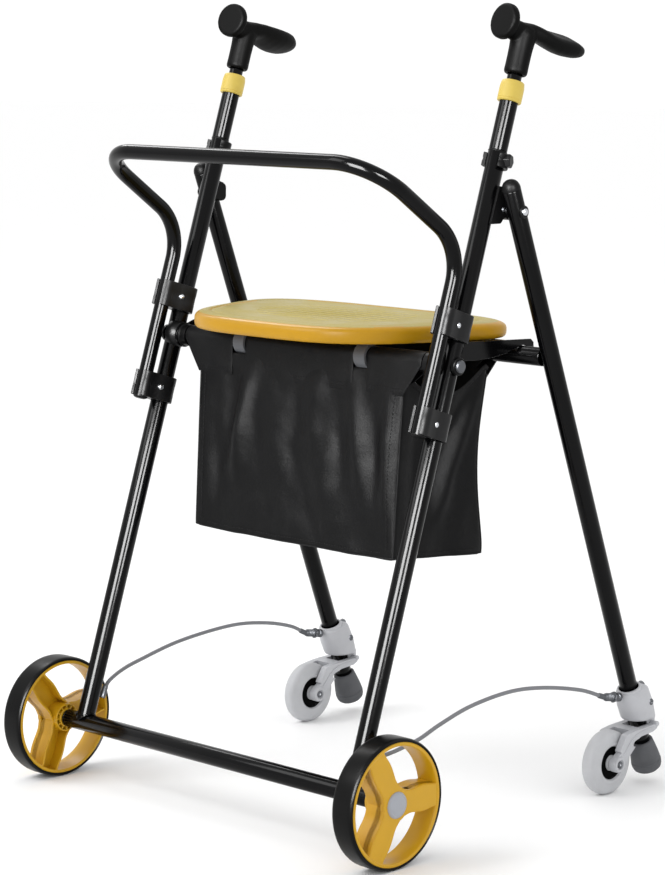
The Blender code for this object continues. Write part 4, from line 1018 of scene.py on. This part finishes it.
sweep([under(UNDER_X * math.copysign(abs(math.cos(a)) ** (2 / SEAT_N), math.cos(a)),
             UNDER_Y * math.copysign(abs(math.sin(a)) ** (2 / SEAT_N), math.sin(a)))
       for a in [2 * math.pi * (k + 0.5) / 120 for k in range(120)]], 1.5, 10, True, bm=seat_bm)
for y in (-84, -56, -28, 0, 28, 56, 84):
    half = UNDER_X * reach(y / UNDER_Y)
    sweep([under(-half + half * j / 8, y) for j in range(17)], 1.3, 10, bm=seat_bm)
for x in (-158, -126, -74, -37, 0, 37, 74, 126, 158):
    half = UNDER_Y * reach(x / UNDER_X)
    sweep([under(x, -half + half * j / 8) for j in range(17)], 1.3, 10, bm=seat_bm)
seat = make("seat_shell", seat_bm, [SEATEDGE, SEAT_TOP_PAINTED_SHEEN], "seat", ["seat_plate"], angle=60)
# the top faces take the seat-top finish, whose paler colour is painted sheen
for f in seat.data.polygons:
    if f.center.z > (SEAT_LOW + 19.0) * 0.001 and abs(f.center.x) < 0.13 and abs(f.center.y - (SEAT_Y - YM) * 0.001) < 0.075:
        f.material_index = 1
    if f.normal.z > 0.9 and f.center.z > (SEAT_LOW + 19.9) * 0.001 or f.center.z > (SEAT_LOW + 19.5) * 0.001 and f.normal.z > 0.97:
        f.material_index = 1
for side, tag in PAIRS:
    arc = [(PIVOT_Y + 11.4 * math.cos(math.radians(96 + 150 * k / 30)), CROSS_Z + 11.4 * math.sin(math.radians(96 + 150 * k / 30)))
           for k in range(31)]
    arc += [(PIVOT_Y + 15.6 * math.cos(math.radians(246 - 130 * k / 30)), CROSS_Z + 15.6 * math.sin(math.radians(246 - 130 * k / 30)))
            for k in range(31)]
    arc += [(PIVOT_Y - 10.0, SEAT_LOW - 0.2), (PIVOT_Y + 6.0, SEAT_LOW - 0.2), (PIVOT_Y + 6.0, CROSS_Z + 13.6)]
    cx = side * 101.0
    make("seat_claw_" + tag, slab(arc, cx - 9.0, cx + 9.0), HOOK, "seat", ["seat_hook_" + tag], bevel=0.7)
    eye = [(PIVOT_Y + 15.4 * math.cos(math.radians(q)), CROSS_Z + 15.4 * math.sin(math.radians(q))) for q in range(70, 309, 8)]
    notch = [(CROSS_Y + 11.6 * math.cos(math.radians(q)), CROSS_Z + 11.6 * math.sin(math.radians(q)))
             for q in range(112, -1, -7)]
    bar = (eye + [(166.0, CROSS_Z - 6.0), (178.0, CROSS_Z + 1.2), (214.0, CROSS_Z - 0.4), (240.0, CROSS_Z + 0.2),
                  (270.0, CROSS_Z + 4.0), (290.0, CROSS_Z + 9.6)] + notch
           + [(CROSS_Y + 11.9, CROSS_Z - 11.0), (CROSS_Y + 18.0, CROSS_Z - 10.0), (CROSS_Y + 20.0, CROSS_Z - 2.0),
              (CROSS_Y + 19.0, CROSS_Z + 14.0), (CROSS_Y + 14.0, CROSS_Z + 18.2), (188.0, CROSS_Z + 22.6),
              (176.0, CROSS_Z + 21.6)])
    x0, x1 = sorted((side * 210.4, side * 213.4))
    bm = slab(bar, x0, x1)
    bm = carve(bm, moved(rod(11.3, -300, 300, 56), frame_at((0, PIVOT_Y, CROSS_Z), (1, 0, 0))))
    x0, x1 = sorted((side * 176.0, side * 212.0))
    merged(bm, slab([(198.0, SEAT_LOW - 3.2), (272.0, SEAT_LOW - 3.2), (272.0, SEAT_LOW - 0.2), (198.0, SEAT_LOW - 0.2)], x0, x1))
    make("seat_side_bar_" + tag, bm, PAINT, "seat", ["seat_bar_" + tag], bevel=0.5)
    for k, y in enumerate((210.0, 260.0)):
        make("bar_screw_%s_%d" % (tag, k), lathe([(0, 1.8), (1.5, 1.7), (1.7, 1.0), (3.4, 0.9), (4.2, 0.0), (4.2, -0.8), (0, -0.8)], 24),
             STEEL, "seat", (), frame_at((side * 190.0, y, SEAT_LOW - 3.2), (0, 0, -1)))

# ------------------------------------------------------------------------ bag
BAG_W_TOP, BAG_W_LOW = 170.5, 167.0


def ripple(x, y, z):
    return (noise.noise(Vector((x / 46 + 3.1, y / 46, z / 170 + 0.7))) * 2.6
            + noise.noise(Vector((x / 21 + 9.4, y / 21, z / 60 + 2.3))) * 1.0)


def bag_point(part, s, t):
    """A point of the shell. part is the panel, s runs along it, t runs down."""
    wide = BAG_W_TOP + (BAG_W_LOW - BAG_W_TOP) * t
    y_front = 139.6 + (127.6 - 139.6) * t
    y_rear = 287.0 + (286.0 - 287.0) * t - 13.0 * math.sin(math.pi * min(1, t * 1.05)) ** 1.2
    z_low = 318.0 + (306.0 - 318.0) * (s if part == "right" else 1 - s if part == "left" else (0 if part == "front" else 1))
    if part == "front":
        z_top = 536.0
        x = -wide + 2 * wide * s
        edge = 1 - (2 * s - 1) ** 8
        y = y_front - edge * (4.4 * math.sin(math.pi * t ** 0.8)) + 1.5 * edge * ripple(x, 0, 500 * t)

        def fold(x0, lean, width, height, t0, t1):
            """A soft vertical fold: its place, slant, width and height, and where it starts and ends."""
            if not t0 < t < t1:
                return 0.0
            return height * math.exp(-((x - x0 - lean * t) / width) ** 2) * math.sin(math.pi * (t - t0) / (t1 - t0)) ** 1.3

        y -= 1.6 * fold(-76, -34, 12, 7.0, 0.02, 0.74)
        y += 1.6 * fold(-104, -30, 14, 4.5, 0.0, 0.8)
        y += fold(6, -22, 15, 6.0, 0.12, 0.7) - fold(34, -10, 15, 3.4, 0.02, 0.6)
        y += fold(72, 6, 13, 6.4, 0.06, 0.75) - fold(96, 22, 12, 6.0, 0.0, 0.85)
        y += fold(128, 8, 10, 6.2, 0.15, 0.8) - fold(150, 4, 9, 5.0, 0.05, 0.95)
        y += fold(-20, 60, 16, 3.0, 0.45, 1.0) + fold(-140, 10, 10, 3.6, 0.1, 0.9)
        z = z_top + (318.0 - 2.6 * edge - z_top) * t
        return Vector((x, y, z))
    if part == "rear":
        x = wide - 2 * wide * s
        edge = 1 - (2 * s - 1) ** 6
        z = 529.0 + (306.0 - 2.0 * edge - 529.0) * t
        return Vector((x, y_rear + edge * 2.0 * math.sin(math.pi * t) + ripple(x, 90, 500 * t) * edge, z))
    sign = 1 if part == "right" else -1
    q = s if part == "right" else 1 - s
    y = y_front + (y_rear - y_front) * q
    z_top = 536.0 - 34.0 * math.sin(math.pi * min(1, q * 1.02)) ** 0.8 + 1.0 * q
    edge = math.sin(math.pi * q) ** 0.5 if 0 < q < 1 else 0
    x = wide - edge * (5.0 * math.sin(math.pi * t) * math.sin(math.pi * q) + 1.3 * ripple(sign * 200, y, 400 * t))
    # a long drag fold from the upper rear corner to the lower front
    d = (q - 0.78 + 0.62 * t)
    x -= 7.5 * math.exp(-(d / 0.10) ** 2) * math.sin(math.pi * min(1, t * 1.15 + 0.05)) * edge
    x += 5.0 * math.exp(-((d - 0.2) / 0.08) ** 2) * math.sin(math.pi * t) * edge
    x -= 4.5 * math.exp(-((q - 0.22) / 0.07) ** 2) * math.sin(math.pi * t) * edge
    x = min(x, wide + 1.6)
    return Vector((sign * x, y, z_top + (z_low - z_top) * t - 0.8 * edge * t))


def bag_loop(t):
    pts = [bag_point("front", k / 60, t) for k in range(60)]
    pts += [bag_point("right", k / 30, t) for k in range(30)]
    pts += [bag_point("rear", k / 44, t) for k in range(44)]
    pts += [bag_point("left", k / 30, t) for k in range(30)]
    return pts


TS = [k / 34 for k in range(35)]
loops = [bag_loop(t) for t in TS]
centre = Vector((0, 207.0, 306.0))
last = loops[-1]
for f in (0.985, 0.95, 0.86, 0.7, 0.5, 0.3, 0.12, 0.03):
    loop = []
    for p in last:
        q = centre.lerp(p, f)
        q.z = 318.0 + (306.0 - 318.0) * (q.y - 127.6) / (286.0 - 127.6) - 2.4 - 5.0 * (1 - f ** 2) * 0.9
        q.z += 0.5 * ripple(q.x, q.y, 40.0)
        loop.append(q)
    loops.append(loop)
shell = skin(loops, True, False)
shell.faces.new([v for v in list(shell.verts)[-164:]])
bmesh.ops.recalc_face_normals(shell, faces=shell.faces)
bmesh.ops.smooth_vert(shell, verts=shell.verts, factor=0.35, use_axis_x=True, use_axis_y=True, use_axis_z=True)
shell.verts.ensure_lookup_table()
NET = [v.co.copy() for v in shell.verts]
me = bpy.data.meshes.new("bag_shell")
for v in shell.verts:
    v.co = row(v.co)
shell.to_mesh(me)
shell.free()
work = bpy.data.objects.new("work", me)
bpy.context.collection.objects.link(work)
sol = work.modifiers.new("thick", "SOLIDIFY")
sol.thickness = 0.0012
sol.offset = -1.0
ss = work.modifiers.new("sub", "SUBSURF")
ss.levels = ss.render_levels = 1
bpy.context.view_layer.update()
got = bpy.data.meshes.new_from_object(work.evaluated_get(bpy.context.evaluated_depsgraph_get()))
bpy.data.objects.remove(work)
bm = bmesh.new()
bm.from_mesh(got)
for v in bm.verts:                               # back to millimetres for the trimmings
    v.co = Vector((v.co.x * 1000, v.co.y * 1000 + YM, v.co.z * 1000))
for f in bm.faces:
    f.material_index = 0
# corner binding, floor piping and rim tape
def net(i, k, out=0.0, drop=0.0):
    """A point of the sewn shell, pushed out from the bag's middle."""
    p = NET[i * 164 + k % 164]
    d = Vector((p.x * 0.45, p.y - 207.0, 0))
    return p + d.normalized() * out + Vector((0, 0, -drop))


for k, inner in ((0, 2), (60, 58), (90, 92), (134, 132)):
    sweep([net(i, k, -0.7) for i in range(1, 35)], 1.0, 10, bm=bm, index=1)
    sg = -1 if k in (0, 60) else 1
    stitches(bm, [net(i, inner) + Vector((0, sg * 0.55, 0)) for i in range(2, 34)], index=2)
sweep([net(34, k, -0.6) for k in range(164)], 1.0, 10, True, bm=bm, index=1)
stitches(bm, [net(33, k) + Vector((0, -0.55, 0)) for k in range(3, 58)], index=2)
for k0, sg in ((60, 1), (134, -1)):
    rim = [net(0, k0 + k) for k in range(31)]
    sweep(rim, 3.0, 14, bm=bm, index=1, wide=0.4, flat=1.0)
    stitches(bm, [net(0, k0 + k) + Vector((sg * 1.3, 0, -2.0)) for k in range(1, 30)], index=2)
    stitches(bm, [net(33, k0 + k) + Vector((sg * 0.55, 0, 0)) for k in range(2, 29)], index=2)
bag = make("bag_shell", bm, [FABRIC, TAPE, THREAD], None, (), normals=False, angle=70)
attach(bag, "front_frame")
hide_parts("bag_body", "bag_back")

# sleeves sewn round the two cross tubes, open at the seat's claws
def tapered(x, w):
    """The sleeve's ends draw in below the tube."""
    if abs(x) <= 150:
        return x
    return math.copysign(150 + (abs(x) - 150) * (0.43 + 0.57 * max(0.0, min(1.0, w))), x)


def sleeve(name, cy, runs, front, body):
    s = -1 if front else 1
    bm = bmesh.new()
    flap = bm if front else bmesh.new()        # the rear flap folds with the bag, its loop with the tube
    for x0, x1 in runs:
        n = max(4, int((x1 - x0) / 6))
        rings, flaps = [], []
        for k in range(n + 1):
            x = x0 + (x1 - x0) * k / n
            prof = []
            for j in range(9):                   # outer flap, rising
                z = 508.0 + (CROSS_Z - 2 - 508.0) * j / 8
                w = (z - 508.0) / 38.0
                y = (137.0 if front else 291.4) * (1 - w) + (cy + s * (12.4 if front else 14.2)) * w
                prof.append(Vector((tapered(x, w), y + 0.5 * ripple(x, 40, z * 2), z)))
            if not front:
                flaps.append(prof)
                prof = [Vector((x, cy + s * 12.2, CROSS_Z - 4.0))]
            for j in range(1, 18):               # over the tube
                a = math.pi * j / 17
                prof.append(Vector((x, cy + s * 12.4 * math.cos(a), CROSS_Z + 12.4 * math.sin(a)
                                    + 0.25 * ripple(x, 70, j * 9))))
            for j in range(1, 8):                # inner flap, down again
                z = CROSS_Z - 2 - 30.0 * j / 7
                w = j / 7
                y = (cy - s * 12.4) * (1 - w) + ((142.0 if front else 288.0)) * w
                prof.append(Vector((tapered(x, 1 - w) * (1.0 if front else 1 - 0.12 * w), y, z)))
            rings.append(prof)
        skin(rings, False, False, bm)
        if not front:
            skin(flaps, False, False, flap)
    made = []
    for piece, sheet in ((name, bm), (name + "_flap", flap))[:1 if front else 2]:
        bmesh.ops.recalc_face_normals(sheet, faces=sheet.faces)
        for v in sheet.verts:
            v.co = row(v.co)
        me = bpy.data.meshes.new(piece)
        sheet.to_mesh(me)
        sheet.free()
        me.shade_smooth()
        ob = bpy.data.objects.new(piece, me)
        bpy.context.collection.objects.link(ob)
        me.materials.append(HEM)
        so = ob.modifiers.new("thick", "SOLIDIFY")
        so.thickness = 0.0011
        so.offset = 0.0
        be = ob.modifiers.new("edge", "BEVEL")
        be.width = 0.0004
        be.segments = 2
        be.limit_method = "ANGLE"
        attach(ob, body if len(made) == 0 else "front_frame")
        made.append(ob)
    thread = bmesh.new()
    for x0, x1 in runs:
        for z in (512.0, 516.0):
            w = (z - 508.0) / 38.0
            y = ((137.0 if front else 291.4) * (1 - w) + (cy + s * (12.4 if front else 14.2)) * w) + s * 0.7
            stitches(thread, [Vector((tapered(x0 + 2 + (x1 - x0 - 4) * k / 40, w),
                                      y + 0.5 * ripple(x0 + 2 + (x1 - x0 - 4) * k / 40, 40, z * 2), z)) for k in range(41)])
    made.append(make(name + "_stitch", thread, THREAD, "front_frame"))
    return made[1:]


sleeve("front_sleeve", PIVOT_Y, ((-197.0, -112.0), (-90.0, 90.0), (112.0, 197.0)), True, "front_frame")
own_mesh(bag)
for ob in sleeve("rear_sleeve", CROSS_Y, ((-169.0, 169.0),), False, "rear_frame"):
    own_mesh(ob)

# ---------------------------------------------------------------- brake cables
ROUTES = {
    "l": [(-229.5, 29.6, 104.0), (-229.5, 33.5, 112.0), (-229.6, 41.0, 121.0), (-230, 62, 131.0), (-231.5, 93, 138.7),
          (-235, 166, 152), (-243, 262, 156.5), (-250, 330, 149.5), (-254.5, 385, 136.5), (-256, 415.6, 122.6)],
    "r": [(229.5, 27.6, 98.0), (229.5, 32.0, 104.5), (229.6, 45.0, 109.5), (230, 70, 112.5), (230.5, 107, 119.0),
          (232, 142, 131), (237, 190, 145.5), (244.5, 250, 154), (250, 305, 151.0), (254.5, 370, 138.5),
          (256, 415.6, 122.6)],
}
for tag, route in ROUTES.items():
    pts = curve_through(route, 4.0)
    ob = make("cable_" + tag, sweep(pts, 2.4, 16), CABLE, None, ["brake_cable_" + tag])
    rise = Vector((0.0, 0.574, 0.819))         # the route's rising direction, and the route's reach along it; these are not used further
    first, reach = Vector(pts[2]), (Vector(pts[-3]) - Vector(pts[2])).dot(rise)
    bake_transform(ob)
    d = (pts[1] - pts[0]).normalized()
    make("cable_ferrule_" + tag, lathe([(2.5, -3.0), (3.6, -3.0), (4.2, -2.2), (4.2, 5.0), (3.6, 6.0), (3.6, 12.0), (3.0, 13.0),
                                         (2.5, 13.0)], 28, True), DARKSTEEL, "front_frame", (), frame_at(pts[0], d))
    d = (pts[-2] - pts[-1]).normalized()
    make("cable_end_" + tag, lathe([(2.5, -1.0), (3.2, -1.0), (3.4, 0.0), (3.4, 9.0), (2.9, 11.0), (2.5, 11.0)], 28, True),
         DARKSTEEL, "rear_frame", (), frame_at(pts[-1], d))

gloss = bpy.data.collections.new("gloss_pieces")
for ob in list(bpy.data.objects):
    if ob.type == "MESH" and ob.data.materials and ob.data.materials[0] in (PAINT, MATTE, CLIP, TYRE, STEEL, DARKSTEEL, GRIP, FABRIC, HEM):
        gloss.objects.link(ob)
for lamp in GLOSS_LIGHTS:
    lamp.light_linking.receiver_collection = gloss
woven = bpy.data.collections.new("woven_pieces")
for ob in list(bpy.data.objects):
    if ob.type == "MESH" and ob.data.materials and ob.data.materials[0] in (FABRIC, HEM):
        woven.objects.link(ob)
CLOTH_LIGHT.light_linking.receiver_collection = woven
